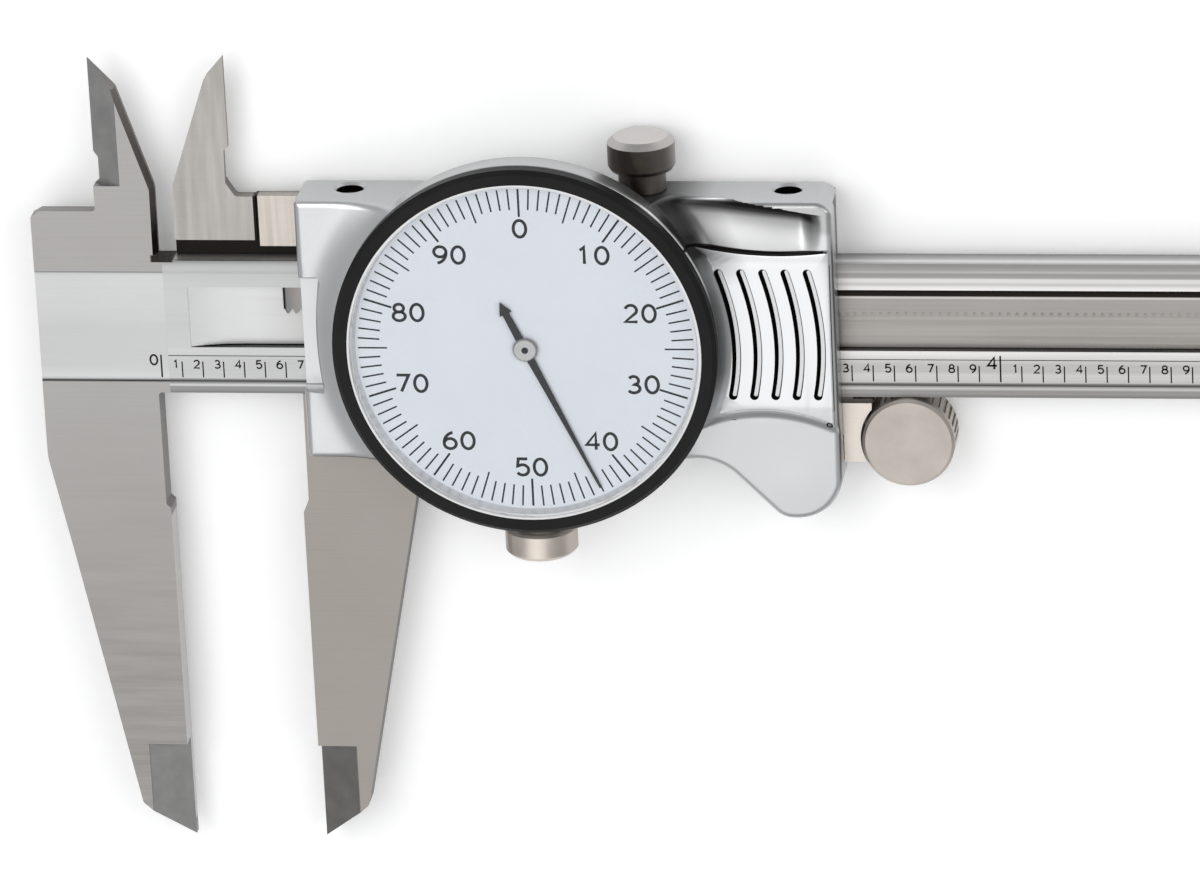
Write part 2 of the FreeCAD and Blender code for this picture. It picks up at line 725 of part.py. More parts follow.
def depth_rod():
    """The flat rod in the back of the beam, thinned to a nib at its end."""
    z0 = wall_front
    z1 = z0 + rod_thickness
    rod = box(rod_fixed_at, end_of_rod, -rod_width / 2, rod_width / 2, z0, z1)
    for x, y in rod_screw_spots:
        rod = rod.cut(post(x, y, 0.7, z0 - 1, z0 + 0.9))
    nib = box(end_of_rod - 4.0, end_of_rod + 1, -rod_width / 2 - 1, -rod_width / 2 + 1.2,
              z0 - 1, z1 + 1)
    return rod.cut(nib)


def depth_rod_screws():
    """Two screws that hold the rod to the slider's rear wall."""
    screws = [screw_up(x, y, 1.25, 0.6, 0.68, frame_back + 0.2, wall_front + 0.85)
              for x, y in rod_screw_spots]
    return Part.makeCompound(screws)


def roller_bracket():
    """The angle on the slider's end that carries the thumb roller."""
    low = rest_level + 0.05
    block = box(frame_right, frame_right + bracket_width, -17.0, -lower_rail_inner - 0.9,
                low, -0.3)
    arm = plate([
        (frame_right, -lower_rail_inner - 0.9, 0),
        (frame_right, -17.0, 0),
        (roller_x, -17.6, 0),
        (roller_x + 3.4, -17.0, 1.5),
        (roller_x + 3.4, -lower_rail_inner - 1.2, 1.5),
        (roller_x, -lower_rail_inner - 0.9, 0),
    ], low, low + bracket_thickness)
    clear_of_roller = post(roller_x, roller_y, roller_radius + 0.3, low + bracket_thickness, 2)
    shape = fuse([block, arm]).cut(clear_of_roller)
    hole = pin(bracket_screw_y, bracket_screw_z, 1.0, frame_right - 1, frame_right + bracket_width + 1)
    seat = pin(bracket_screw_y, bracket_screw_z, 1.7, frame_right + 1.6, frame_right + bracket_width + 1)
    axle_hole = post(roller_x, roller_y, axle_radius, low - 1, low + bracket_thickness + 1)
    clear_of_skirt = box(frame_right - 1, housing_right + slide_gap, -finger_rest_reach,
                         -lower_rail_outer, -skirt_depth - slide_gap, 1)
    return shape.cut(hole).cut(seat).cut(axle_hole).cut(clear_of_skirt)


def bracket_screw():
    """The screw that holds the bracket on the frame's end."""
    y = bracket_screw_y
    z = bracket_screw_z
    head = pin(y, z, 1.6, frame_right + 1.6, frame_right + 2.4)
    shank = pin(y, z, 0.88, frame_right - bracket_screw_length, frame_right + 1.6)
    return head.fuse(shank).removeSplitter()


def roller_axle():
    """The axle riveted in the bracket."""
    low = rest_level + 0.05
    return post(roller_x, roller_y, axle_radius, low, low + bracket_thickness + 4.6)


def thumb_roller():
    """The knurled roller that runs along the beam's lower edge, closed at the front."""
    low = rest_level + 0.05 + bracket_thickness + 0.1
    top = low + roller_thickness
    body = turned([(0, low), (roller_radius - 0.5, low), (roller_radius, low + 0.5),
                   (roller_radius, top - 0.35), (roller_radius - 0.35, top), (0, top)],
                  roller_x, roller_y)
    bore = post(roller_x, roller_y, axle_radius + turn_gap, low - 1, low + 4.6)
    body = body.cut(bore)
    for i in range(roller_knurls):
        angle = 2 * math.pi * i / roller_knurls
        notch = box(roller_radius - knurl_depth, roller_radius + 1, -0.22, 0.22, low + 0.5, top - 1.2)
        notch.rotate(V(0, 0, 0), V(0, 0, 1), math.degrees(angle))
        notch.translate(V(roller_x, roller_y, 0))
        body = body.cut(notch)
    return body


def movement_plate():
    """The brass plate that lies on both rails and carries the gears' lower bushes."""
    shape = plate([
        (cavity_left + 1.0, upper_rail_outer - 4.4, 1.5),
        (cavity_right - 1.0, upper_rail_outer - 4.4, 1.5),
        (cavity_right - 1.0, -lower_rail_outer + 2.2, 1.5),
        (cavity_left + 1.0, -lower_rail_outer + 2.2, 1.5),
    ], rail_top, plate_top)
    for x, y in arbor_spots:
        shape = shape.cut(post(x, y, bush_radius, rail_top - 1, plate_top + 1))
    for x, y in plate_screw_spots:
        shape = shape.cut(post(x, y, 0.65, rail_top - 1, plate_top + 1))
    for x, y in pillar_spots:
        shape = shape.cut(post(x, y, 0.5, rail_top - 1, plate_top + 1))
    return shape


def movement_plate_screws():
    """Four screws that hold the movement plate on the rails."""
    screws = [screw_up(x, y, 1.1, 0.5, 0.58, plate_top + 0.5, rail_top - 1.9)
              for x, y in plate_screw_spots]
    return Part.makeCompound(screws)


def movement_pillars():
    """Four pillars between the plate and the bridge, riveted in the plate."""
    pillars = []
    for x, y in pillar_spots:
        body = post(x, y, 1.1, plate_top, bridge_level)
        tail = post(x, y, 0.5, rail_top, plate_top)
        hole = post(x, y, 0.5, bridge_level - 1.2, bridge_level + 1)
        pillars.append(body.fuse(tail).removeSplitter().cut(hole))
    return Part.makeCompound(pillars)


def movement_bridge():
    """The cross-shaped bridge over the gears."""
    top = bridge_level + plate_thickness
    bar = plate([
        (pinion_x - bridge_end, bridge_half_width, 2.5),
        (take_up_x + bridge_end, bridge_half_width, 2.5),
        (take_up_x + bridge_end, -bridge_half_width, 2.5),
        (pinion_x - bridge_end, -bridge_half_width, 2.5),
    ], bridge_level, top)
    arm_x = pillar_reach_x + bridge_rim
    arm_y = pillar_reach_y + bridge_rim
    cross = plate([
        (dial_x - arm_x, arm_y, 1.8),
        (dial_x + arm_x, arm_y, 1.8),
        (dial_x + arm_x, -arm_y, 1.8),
        (dial_x - arm_x, -arm_y, 1.8),
    ], bridge_level, top)
    shape = fuse([bar, cross])
    for x, y in arbor_spots:
        shape = shape.cut(post(x, y, bush_radius, bridge_level - 1, top + 1))
    for x, y in pillar_spots:
        shape = shape.cut(post(x, y, 0.55, bridge_level - 1, top + 1))
    return shape


def bridge_screws():
    """Four screws through the bridge into the pillars."""
    top = bridge_level + plate_thickness
    screws = [screw_up(x, y, 1.0, 0.5, 0.48, top + 0.5, bridge_level - 1.1)
              for x, y in pillar_spots]
    return Part.makeCompound(screws)


def pivot_bushes():
    """The bearing bushes of the three arbors, below and above the gears."""
    bushes = []
    levels = [(rail_top, plate_top), (bridge_level, bridge_level + plate_thickness)]
    for x, y in arbor_spots:
        shaft = centre_arbor_radius if x == dial_x else arbor_radius
        for z0, z1 in levels:
            bush = post(x, y, bush_radius, z0, z1)
            bushes.append(bush.cut(post(x, y, shaft + turn_gap, z0 - 1, z1 + 1)))
    return Part.makeCompound(bushes)


def rack_pinion():
    """The arbor whose lower end is the pinion that runs along the rack."""
    nearest = round((pinion_x - rack_start) / rack_pitch)
    gap_x = rack_start + nearest * rack_pitch
    angle = math.pi / 2 - (gap_x - pinion_x) / pinion_radius
    low = groove_floor + 0.1
    points = gear_points(pinion_x, pinion_y, pinion_teeth, pinion_radius, 0.28, 0.3, angle, 2)
    pinion = polygon_plate(points, low, low + pinion_thickness)
    shaft = post(pinion_x, pinion_y, arbor_radius, low, bridge_level + plate_thickness)
    return pinion.fuse(shaft)


def pinion_to_wheel_angle(x, y):
    """Direction from the dial's centre to a wheel's centre."""
    return math.atan2(y, x - dial_x)


def toothed_wheel(x, y):
    """A wheel in mesh with the centre pinion, with an open web of holes."""
    towards = pinion_to_wheel_angle(x, y)
    first_gap = pinion_to_wheel_angle(pinion_x, pinion_y)
    step = 2 * math.pi / centre_teeth
    away = (first_gap - towards) / step
    slip = (away - round(away)) * step
    angle = towards + math.pi - slip * centre_teeth / wheel_teeth
    radius = wheel_module * wheel_teeth / 2
    points = gear_points(x, y, wheel_teeth, radius, 0.21, 0.29, angle, 1)
    wheel = polygon_plate(points, wheel_level, wheel_level + wheel_thickness)
    wheel = wheel.cut(post(x, y, arbor_radius, wheel_level - 1, wheel_level + 1))
    for i in range(4):
        spoke = math.pi / 4 + i * math.pi / 2
        wheel = wheel.cut(post(x + 5.6 * math.cos(spoke), y + 5.6 * math.sin(spoke), 2.6,
                               wheel_level - 1, wheel_level + 1))
    return wheel


def wheel_hub(x, y):
    """The collet that fixes a wheel on its arbor."""
    hub = post(x, y, 1.2, plate_top + 0.1, wheel_level)
    return hub.cut(post(x, y, arbor_radius, plate_top, wheel_level + 1))


def take_up_arbor():
    """The arbor of the wheel that takes up the play of the train."""
    return post(take_up_x, 0, arbor_radius, rail_top, bridge_level + plate_thickness)


def hairspring():
    """A flat spiral of half turns, from the take-up arbor's collar out to the stud."""
    pieces = []
    radius = arbor_radius + 0.35
    side = 1
    centre = take_up_x
    z0 = wheel_level + wheel_thickness + 0.15
    for i in range(2 * spring_turns):
        outer = Part.makeCylinder(radius + spring_ribbon / 2, spring_height, V(centre, 0, z0),
                                  V(0, 0, 1), 180)
        inner = Part.makeCylinder(radius - spring_ribbon / 2, spring_height, V(centre, 0, z0),
                                  V(0, 0, 1), 180)
        half = outer.cut(inner)
        if side < 0:
            half.rotate(V(centre, 0, z0), V(0, 0, 1), 180)
        pieces.append(half)
        centre = centre - side * spring_growth / 2
        radius = radius + spring_growth / 2
        side = -side
    end_x = take_up_x + arbor_radius + 0.35 + spring_turns * spring_growth
    return fuse(pieces), end_x, z0


def hairspring_stud(end_x, z0):
    """The stud under the bridge that holds the spring's outer end."""
    return post(end_x + spring_ribbon / 2 + 0.5, 0, 0.5, z0, bridge_level)


def bezel_ring():
    """The turning rim that holds the crystal and the dial."""
    low = bezel_bottom - spigot_depth
    wire = low + 0.35
    wire_top = wire + spring_wire + 2 * fit_gap
    wire_floor = spigot_radius - 0.35
    return turned([
        (cup_inner - 0.4, low), (spigot_radius, low), (spigot_radius, wire),
        (wire_floor, wire), (wire_floor, wire_top), (spigot_radius, wire_top),
        (spigot_radius, bezel_bottom), (cup_radius, bezel_bottom),
        (cup_radius, bezel_top - 0.5), (cup_radius - 0.5, bezel_top),
        (bezel_opening, bezel_top), (bezel_opening, dial_back), (cup_inner - 0.4, dial_back),
    ], dial_x, 0)


def bezel_spring_wire():
    """The open wire ring that keeps the bezel on the cup."""
    z0 = bezel_bottom - spigot_depth + 0.35 + fit_gap
    inner = spigot_radius - 0.3
    outer = cup_bore + 0.3
    ring = turned([(inner, z0), (outer, z0), (outer, z0 + spring_wire), (inner, z0 + spring_wire)],
                  dial_x, 0)
    gap = box(dial_x - 2.2, dial_x + 2.2, -cup_radius - 1, -inner + 3, z0 - 1, z0 + 2)
    return ring.cut(gap)


def bezel_clamp_shoe():
    """The block that the clamp screw presses against the bezel's spigot."""
    return box(clamp_screw_x - 1.5, clamp_screw_x + 1.5, -cup_radius + 0.2, -spigot_radius - fit_gap,
               clamp_level - 1.5, cup_top - 0.1)


def bezel_clamp_screw():
    """The nickel screw under the dial that locks the bezel."""
    neck_top = -boss_end - 0.1
    return turned_about_y([
        (0, -clamp_screw_end), (clamp_head_radius - 0.5, -clamp_screw_end),
        (clamp_head_radius, -clamp_screw_end + 0.5), (clamp_head_radius, -clamp_head_top - 0.3),
        (clamp_head_radius - 0.3, -clamp_head_top), (2.4, -clamp_head_top), (2.4, neck_top),
        (1.25, neck_top), (1.25, -cup_radius + 0.15), (0, -cup_radius + 0.15),
    ], clamp_screw_x, clamp_level)


def lock_screw():
    """The gunmetal screw on top that locks the slider through the gib."""
    seat = housing_top + 0.1
    return turned_about_y([
        (0, upper_rail_inner - slide_gap + 0.02), (1.5, upper_rail_inner - slide_gap + 0.02),
        (1.5, seat), (lock_neck_radius, seat), (lock_neck_radius, seat + 2.3),
        (lock_head_radius - 0.3, seat + 2.6), (lock_head_radius, seat + 3.1),
        (lock_head_radius, lock_screw_top - 0.9), (lock_head_radius - 0.8, lock_screw_top - 0.2),
        (lock_head_radius - 2.0, lock_screw_top), (0, lock_screw_top),
    ], lock_screw_x, -screw_level)


def dial_plate():
    """The graduated disc; it turns with the bezel."""
    disc = post(dial_x, 0, bezel_opening - slide_gap, dial_back, dial_front)
    return disc.cut(post(dial_x, 0, centre_arbor_radius + 0.4, dial_back - 1, dial_front + 1))


def crystal():
    """The flat clear window in the bezel."""
    return post(dial_x, 0, crystal_radius - slide_gap, crystal_back, crystal_front)


def crystal_spacer():
    """The bright ring that holds the crystal, its inside widening down to the dial."""
    outer = bezel_opening - slide_gap
    return turned([
        (outer, dial_front), (outer, crystal_front), (crystal_radius, crystal_front),
        (crystal_radius, crystal_back), (crystal_radius - 0.2, crystal_back),
        (bezel_opening - spacer_foot, dial_front),
    ], dial_x, 0)


def centre_pinion():
    """The dial's centre arbor with the small pinion that both wheels mesh with."""
    towards = pinion_to_wheel_angle(pinion_x, pinion_y)
    gap_angle = towards + math.pi / centre_teeth
    radius = wheel_module * centre_teeth / 2
    points = gear_points(dial_x, 0, centre_teeth, radius, 0.21, 0.29, gap_angle, 2)
    pinion = polygon_plate(points, wheel_level - 0.2, wheel_level + wheel_thickness + 0.2)
    shaft = post(dial_x, 0, centre_arbor_radius, rail_top, dial_front + 0.7)
    return pinion.fuse(shaft)


def pointer():
    """The hand: a long taper, a short tail with an arrow end."""
    z0 = dial_front + 0.25
    w = pointer_width / 2
    hand = polygon_plate([
        (-w, 0), (-w * 0.8, 4.0), (-0.12, pointer_reach), (0.12, pointer_reach), (w * 0.8, 4.0), (w, 0),
        (w * 0.8, -pointer_tail + 1.6), (w * 1.6, -pointer_tail + 1.6), (0, -pointer_tail),
        (-w * 1.6, -pointer_tail + 1.6), (-w * 0.8, -pointer_tail + 1.6),
    ], z0, z0 + pointer_thickness)
    eye = post(0, 0, hub_radius - 0.1, z0, z0 + pointer_thickness)
    hand = fuse([hand, eye]).cut(post(0, 0, hub_radius - 0.5, z0 - 1, z0 + 1))
    hand.rotate(V(0, 0, 0), V(0, 0, 1), -360 * turns_shown)
    hand.translate(V(dial_x, 0, 0))
    return hand


def pointer_hub():
    """The bush that carries the hand on the centre arbor."""
    z0 = dial_front + 0.1
    hub = turned([
        (centre_arbor_radius, z0), (hub_radius - 0.5, z0), (hub_radius - 0.5, z0 + 0.35),
        (hub_radius, z0 + 0.35), (hub_radius - 0.2, z0 + 0.6), (centre_arbor_radius, z0 + 0.6),
    ], dial_x, 0)
    return hub


spring, spring_end_x, spring_level = hairspring()

save("beam", beam())
save("rack", rack())
save("end_stop_screws", end_stop_screws())
save("slider_frame", slider_frame())
save("dial_housing", dial_housing())
save("housing_screws", housing_screws())
save("gib", gib())
save("gib_screws", gib_screws())
save("rear_cover", rear_cover())
save("rear_cover_screws", rear_cover_screws())
save("depth_rod", depth_rod())
save("depth_rod_screws", depth_rod_screws())
save("roller_bracket", roller_bracket())
save("bracket_screw", bracket_screw())
save("roller_axle", roller_axle())
save("thumb_roller", thumb_roller())
save("movement_plate", movement_plate())
save("movement_plate_screws", movement_plate_screws())
save("movement_pillars", movement_pillars())
save("movement_bridge", movement_bridge())
save("bridge_screws", bridge_screws())
save("pivot_bushes", pivot_bushes())
save("rack_pinion", rack_pinion())
save("drive_wheel", toothed_wheel(pinion_x, pinion_y))
save("drive_wheel_collet", wheel_hub(pinion_x, pinion_y))
save("take_up_wheel", toothed_wheel(take_up_x, 0))
save("take_up_collet", wheel_hub(take_up_x, 0))
save("take_up_arbor", take_up_arbor())
save("hairspring", spring)
save("hairspring_stud", hairspring_stud(spring_end_x, spring_level))
save("bezel_ring", bezel_ring())
save("bezel_spring_wire", bezel_spring_wire())
save("bezel_clamp_shoe", bezel_clamp_shoe())
save("bezel_clamp_screw", bezel_clamp_screw())
save("lock_screw", lock_screw())
save("dial_plate", dial_plate())
save("crystal", crystal())
save("crystal_spacer", crystal_spacer())
save("centre_pinion", centre_pinion())
save("pointer", pointer())
save("pointer_hub", pointer_hub())
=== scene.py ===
import math

import bpy
import numpy as np
from mathutils import Matrix, Vector


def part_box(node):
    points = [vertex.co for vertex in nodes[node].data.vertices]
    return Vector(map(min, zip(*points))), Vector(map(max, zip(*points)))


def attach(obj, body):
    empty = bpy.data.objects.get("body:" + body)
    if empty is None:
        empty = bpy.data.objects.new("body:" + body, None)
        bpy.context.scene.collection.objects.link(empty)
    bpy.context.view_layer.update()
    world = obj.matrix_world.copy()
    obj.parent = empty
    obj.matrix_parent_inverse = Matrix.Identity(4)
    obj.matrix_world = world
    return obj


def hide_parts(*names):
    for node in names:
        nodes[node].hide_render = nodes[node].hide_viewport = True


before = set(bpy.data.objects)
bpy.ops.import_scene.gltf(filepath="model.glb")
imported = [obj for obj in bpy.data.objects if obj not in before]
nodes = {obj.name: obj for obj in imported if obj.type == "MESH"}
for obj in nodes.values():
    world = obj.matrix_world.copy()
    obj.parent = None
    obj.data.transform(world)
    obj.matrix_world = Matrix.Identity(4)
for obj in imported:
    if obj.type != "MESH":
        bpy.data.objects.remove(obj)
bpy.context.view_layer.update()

# Sizes here are millimetres from the scale's zero: X = 0 on the fixed jaw's measuring face,
# Y = 0 on the beam's centre line, Z = 0 on the beam's graduated face.
beam_low, beam_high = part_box("beam")
rack_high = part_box("rack")[1]
jaw_back = 14.8
rack_back = 5.1
zero = np.array([beam_low.x + jaw_back / 1000, rack_high.y - rack_back / 1000, beam_high.z])

# Beam, rails and the slider's opening
half_beam = 8.5
land_start = 0.9
groove_start = 3.0
groove_low = -2.62
groove_high = 5.12
past_end = 400
rail_top = 0.2
upper_rail = 16.2
lower_rail = -13.5
opening = 16.3322
jaw_width = 13.9

# Scale on the beam: its band's level, and the heights of its lines
band = -0.1
inch = 25.4
tenth = 2.54
scale_inches = 8
zero_top = -3.65
inch_top = -3.2
tenth_top = -4.5
scale_low = -6.55
long_line = -3.75

# Beam figures: offset from their division, height and line width
zero_figure = (-0.9, -4.3, 1.25, 0.23)
inch_figure = (-1.0, -4.15, 1.5, 0.27)
tenth_figure = (-0.75, -4.85, 0.98, 0.19)

# Dial housing
dial_x = 45.6
left = 17.9
right = 82.5
top = 17.4
bottom = -15.6
lobe_low = -23.4
toe_radius = 5.6
face = 3.4
fall = 0.9
lean = 0.1
skirt = -4.0
cup_radius = 23.1
cup_top = 6.4

# Shoulder, scoop and finger rest
shoulder_foot = 29.0
shoulder_rise = 2.1
scoop_height = 28.59
scoop_slope = -0.158
scoop_bend = 0.22
scoop_least = 1.5
scoop_more = 0.9
rest_drop = 0.9
swell_rise = 0.35
swell_at = (77.5, -19.0)

# Grip pad; each hollow line is the x and y of its crown and its bow
pad_start = 64.2
pad_left = 66.8
pad_rise = 0.35
pad_level = face + pad_rise
pad_upper_line = (76.0, 10.82, 0.0118)
pad_lower_line = (73.2, -8.8, -0.0255)
pad_slots = 5
slot_pitch = 2.65
slot_width = 0.8
slot_depth = 0.5
slot_top = 8.6
slot_low = -7.0
slot_bow = 0.55
slot_slant = 1.2

# Hollows and bores of the casting; a round one is its radius and floor
cavity_left = 22.6
cavity_right = 70.0
cavity_roof = 1.7
plate_half = 10.6
plate_roof = 2.55
dial_well = (21.0, 2.45)
bezel_seat = (22.0, 4.9)
clamp_x = 45.8
clamp_level = 2.6
clamp_bore = 1.28
clamp_boss = 3.0
clamp_end = -20.0
clamp_gap = 1.6
lock_x = 59.4
screw_level = -1.5
screw_holes = (24.1, 76.8)
screw_bore = 1.6
pin_at = (81.3, -10.9)

# Dial, bezel and roller
bezel_top = 8.5
dial_front = 6.6
divisions = 100
division_reach = 20.2
dial_height = 2.1
dial_weight = 0.37
roller_at = (90.4, -14.1)

# Printed and etched lines: how far they sink in and stand out
print_sink = 0.01
print_rise = 0.012


def to_frame(points):
    """Millimetres from the scale's zero, turned into the frame's metres."""
    return zero + np.asarray(points, float) * 0.001


def signed_volume(points, quads):
    """A sixth of the sum of a . (b x c) over the triangles of quads that share the first corner."""
    a, b, c, d = (points[quads[:, k]] for k in range(4))
    return (np.einsum("ij,ij->i", a, np.cross(b, c)) + np.einsum("ij,ij->i", a, np.cross(c, d))).sum() / 6


def loft(rings, stack_wraps=False):
    """Quads between neighbouring rings of an array (rings, points, 3), each ring closed on itself.
    An open stack gets a flat cap on its first and last ring; the faces are turned outwards."""
    count, size, _ = rings.shape
    points = rings.reshape(-1, 3)
    rows = np.arange(count if stack_wraps else count - 1)
    columns = np.arange(size)
    i, j = np.meshgrid(rows, columns, indexing="ij")
    i2, j2 = (i + 1) % count, (j + 1) % size
    quads = np.stack([i * size + j, i * size + j2, i2 * size + j2, i2 * size + j], -1).reshape(-1, 4)
    centre = points.mean(0)
    caps = []
    if not stack_wraps:
        caps = [list(range(size))[::-1], list(range((count - 1) * size, count * size))]
    outward = signed_volume(points - centre, quads)
    for cap in caps:
        fan = np.array([[cap[0], cap[k], cap[k + 1], cap[k + 1]] for k in range(1, size - 1)])
        outward += signed_volume(points - centre, fan)
    faces = quads.tolist() + caps
    if outward < 0:
        faces = [f[::-1] for f in faces]
    return points, faces


def together(parts):
    """Several (points, faces) shapes as one."""
    points, faces, start = [], [], 0
    for shape_points, shape_faces in parts:
        points.append(np.asarray(shape_points, float))
        faces += [[k + start for k in f] for f in shape_faces]
        start += len(shape_points)
    return np.concatenate(points), faces


def smooth(mesh, sharp_angle=35):
    """Smooth shading, with edges past sharp_angle degrees kept sharp."""
    mesh.shade_smooth()
    mesh.set_sharp_from_angle(angle=math.radians(sharp_angle))


def mesh_object(name, shape):
    """A mesh object at the origin whose points lie in the frame."""
    points, faces = shape
    mesh = bpy.data.meshes.new(name)
    mesh.from_pydata(to_frame(points).tolist(), [], faces)
    mesh.update()
    smooth(mesh)
    obj = bpy.data.objects.new(name, mesh)
    bpy.context.scene.collection.objects.link(obj)
    return obj


def place(obj, material, body, replaced=()):
    """Give a finished piece its material, the body it rides on and the node it stands for."""
    obj.data.materials.clear()
    obj.data.materials.append(material)
    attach(obj, body)
    if replaced:
        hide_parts(*replaced)


def joined(name, start, tools, sharp_angle):
    """start with each (shape, operation) of tools added or cut, as one plain mesh."""
    obj = mesh_object(name, start)
    for k, (shape, operation) in enumerate(tools):
        tool = mesh_object("%s_tool_%d" % (name, k), shape)
        change = obj.modifiers.new("tool", "BOOLEAN")
        change.operation = operation
        change.solver = "MANIFOLD"
        change.object = tool
        bpy.context.view_layer.update()
        mesh = bpy.data.meshes.new_from_object(obj.evaluated_get(bpy.context.evaluated_depsgraph_get()))
        obj.modifiers.clear()
        old = obj.data
        obj.data = mesh
        bpy.data.meshes.remove(old)
        tool_mesh = tool.data
        bpy.data.objects.remove(tool)
        bpy.data.meshes.remove(tool_mesh)
    obj.data.name = name
    smooth(obj.data, sharp_angle)
    return obj


# Shapes

def around(count):
    """Evenly spaced angles of one turn."""
    return np.linspace(0, 2 * np.pi, count, endpoint=False)


def turned(profile, x, y, count):
    """(radius, z) points turned about a Z axis: point = (x + r cos a, y + r sin a, z)."""
    r, z = np.asarray(profile, float).T
    a = around(count)
    return loft(np.stack([x + r[:, None] * np.cos(a), y + r[:, None] * np.sin(a),
                          np.broadcast_to(z[:, None], (len(r), count))], -1))


def turned_about_y(profile, x, z, count=96):
    """(radius, y) points turned about a Y axis: point = (x + r cos a, y, z + r sin a)."""
    r, y = np.asarray(profile, float).T
    a = around(count)
    return loft(np.stack([x + r[:, None] * np.cos(a), np.broadcast_to(y[:, None], (len(r), count)),
                          z + r[:, None] * np.sin(a)], -1))


def arc(cx, cy, rx, ry, start, end, count=14):
    """Points of an ellipse's arc between two angles in degrees."""
    a = np.radians(np.linspace(start, end, count))
    return np.stack([cx + rx * np.cos(a), cy + ry * np.sin(a)], -1)


def prism(outline, levels):
    """An outline (x, y) carried through (z, inset) levels, moved inwards along its normals by inset;
    a third number in a level shifts it along X."""
    outline = np.asarray(outline, float)
    along = np.roll(outline, -1, 0) - np.roll(outline, 1, 0)
    along /= np.linalg.norm(along, axis=1, keepdims=True)
    inward = np.stack([-along[:, 1], along[:, 0]], -1)
    x, y = outline.T
    if (x * np.roll(y, -1) - np.roll(x, -1) * y).sum() < 0:
        inward = -inward
    rings = [np.column_stack([outline + inward * inset + (sum(shift), 0), np.full(len(outline), z)])
             for z, inset, *shift in levels]
    return loft(np.stack(rings))


def block(x0, x1, y0, y1, z0, z1):
    """A plain box."""
    return prism([(x0, y0), (x1, y0), (x1, y1), (x0, y1)], [(z0, 0), (z1, 0)])


def well(radius, z0, z1):
    """A round hollow along Z on the dial's centre."""
    return turned([(radius, z0), (radius, z1)], dial_x, 0, 240)


def peg(x, z, radius, y0, y1):
    """A round peg along Y."""
    return turned_about_y([(radius, y0), (radius, y1)], x, z, 48)


def rounded(corners, step):
    """A closed outline through (x, y, radius) corners, each radius a tangent arc of short steps."""
    points = []
    count = len(corners)
    for i in range(count):
        here = np.array(corners[i][:2], float)
        radius = corners[i][2]
        back = np.array(corners[i - 1][:2]) - here
        ahead = np.array(corners[(i + 1) % count][:2]) - here
        back /= np.linalg.norm(back)
        ahead /= np.linalg.norm(ahead)
        half = math.acos(np.clip(back @ ahead, -1, 1)) / 2
        middle = here + (back + ahead) / np.linalg.norm(back + ahead) * radius / math.sin(half)
        first = here + back * radius / math.tan(half) - middle
        last = here + ahead * radius / math.tan(half) - middle
        turn = math.pi - 2 * half
        n = max(4, int(radius * turn / step) + 1)
        t = np.linspace(0, 1, n)[:, None]
        points.append(middle + (first * np.sin((1 - t) * turn) + last * np.sin(t * turn)) / math.sin(turn))
    return np.concatenate(points)


def smooth_step(t):
    """0 below 0, 1 above 1, and t squared times (3 - 2 t) between."""
    t = np.clip(t, 0, 1)
    return t * t * (3 - 2 * t)


# The dial housing

def outline_edges():
    """The outline's lower and upper edges as points sorted along X, each corner a tangent arc."""
    line = rounded([(left, top, 0.8), (right, top, 2.0), (right, lobe_low, toe_radius),
                    (right - toe_radius - 1.7, lobe_low, 3.0), (right - toe_radius - 9.2, bottom - 0.2, 7.0),
                    (left, bottom, 0.6)], 0.2)
    low, high = line[line[:, 1] < 0], line[line[:, 1] > 0]
    return low[np.argsort(low[:, 0])], high[np.argsort(high[:, 0])]


def bowed(x, line):
    """A parabola: its crown's y plus its bow times the squared distance from the crown's x."""
    crown_x, crown_y, bow = line
    return crown_y + bow * (x - crown_x) ** 2


def scoop_upper(x):
    """The scoop's upper line: straight, sloping down to the right, above the housing's edge on the left."""
    return scoop_height + scoop_slope * x


def scoop_depth(x, y):
    """Depth of the hollow between its upper line and the pad's, v running from 0 to 1 between them:
    a quarter round falls to full depth at scoop_bend, then a long smooth rise leaves two fifths of it."""
    high, low = scoop_upper(x), bowed(x, pad_upper_line)
    v = np.clip((high - y) / (high - low), 0, 2)
    drop = np.sqrt(np.clip(1 - (1 - v / scoop_bend) ** 2, 0, None))
    rise = 1 - 0.6 * smooth_step((v - scoop_bend) / 0.85)
    full = scoop_least + scoop_more * (1 - smooth_step((x - 60.0) / 16.0))
    gone = 1 - smooth_step((v - 1.02) / 0.12)
    along = smooth_step((x - 58.8) / 4.5) * (1 - smooth_step((x - 78.4) / 3.2))
    return full * np.where(v < scoop_bend, drop, rise) * gone * along


def housing_level(x, y):
    """Height of the housing's front: the flat face, plus the shoulder that rises as a power of the
    distance towards the cup and is narrower on the right, less the scoop above the pad and the drop
    of the finger rest, plus the rest's low round swell."""
    r = np.hypot(x - dial_x, y)
    foot = shoulder_foot - 3.4 * smooth_step((x - 56.0) / 8.0)
    below = smooth_step((bowed(x, pad_lower_line) - 0.1 - y) / 1.5)
    shoulder = shoulder_rise * np.clip((foot - r) / (foot - cup_radius), 0, 1.3) ** 2.4
    shoulder *= 1 - below * smooth_step((x - 54.0) / 6.0)
    rest = rest_drop * below * smooth_step((x - 61.0) / 5.0)
    swell = swell_rise * np.exp(-((x - swell_at[0]) / 3.4) ** 2 - ((y - swell_at[1]) / 3.2) ** 2)
    return face + shoulder - scoop_depth(x, y) - rest + swell


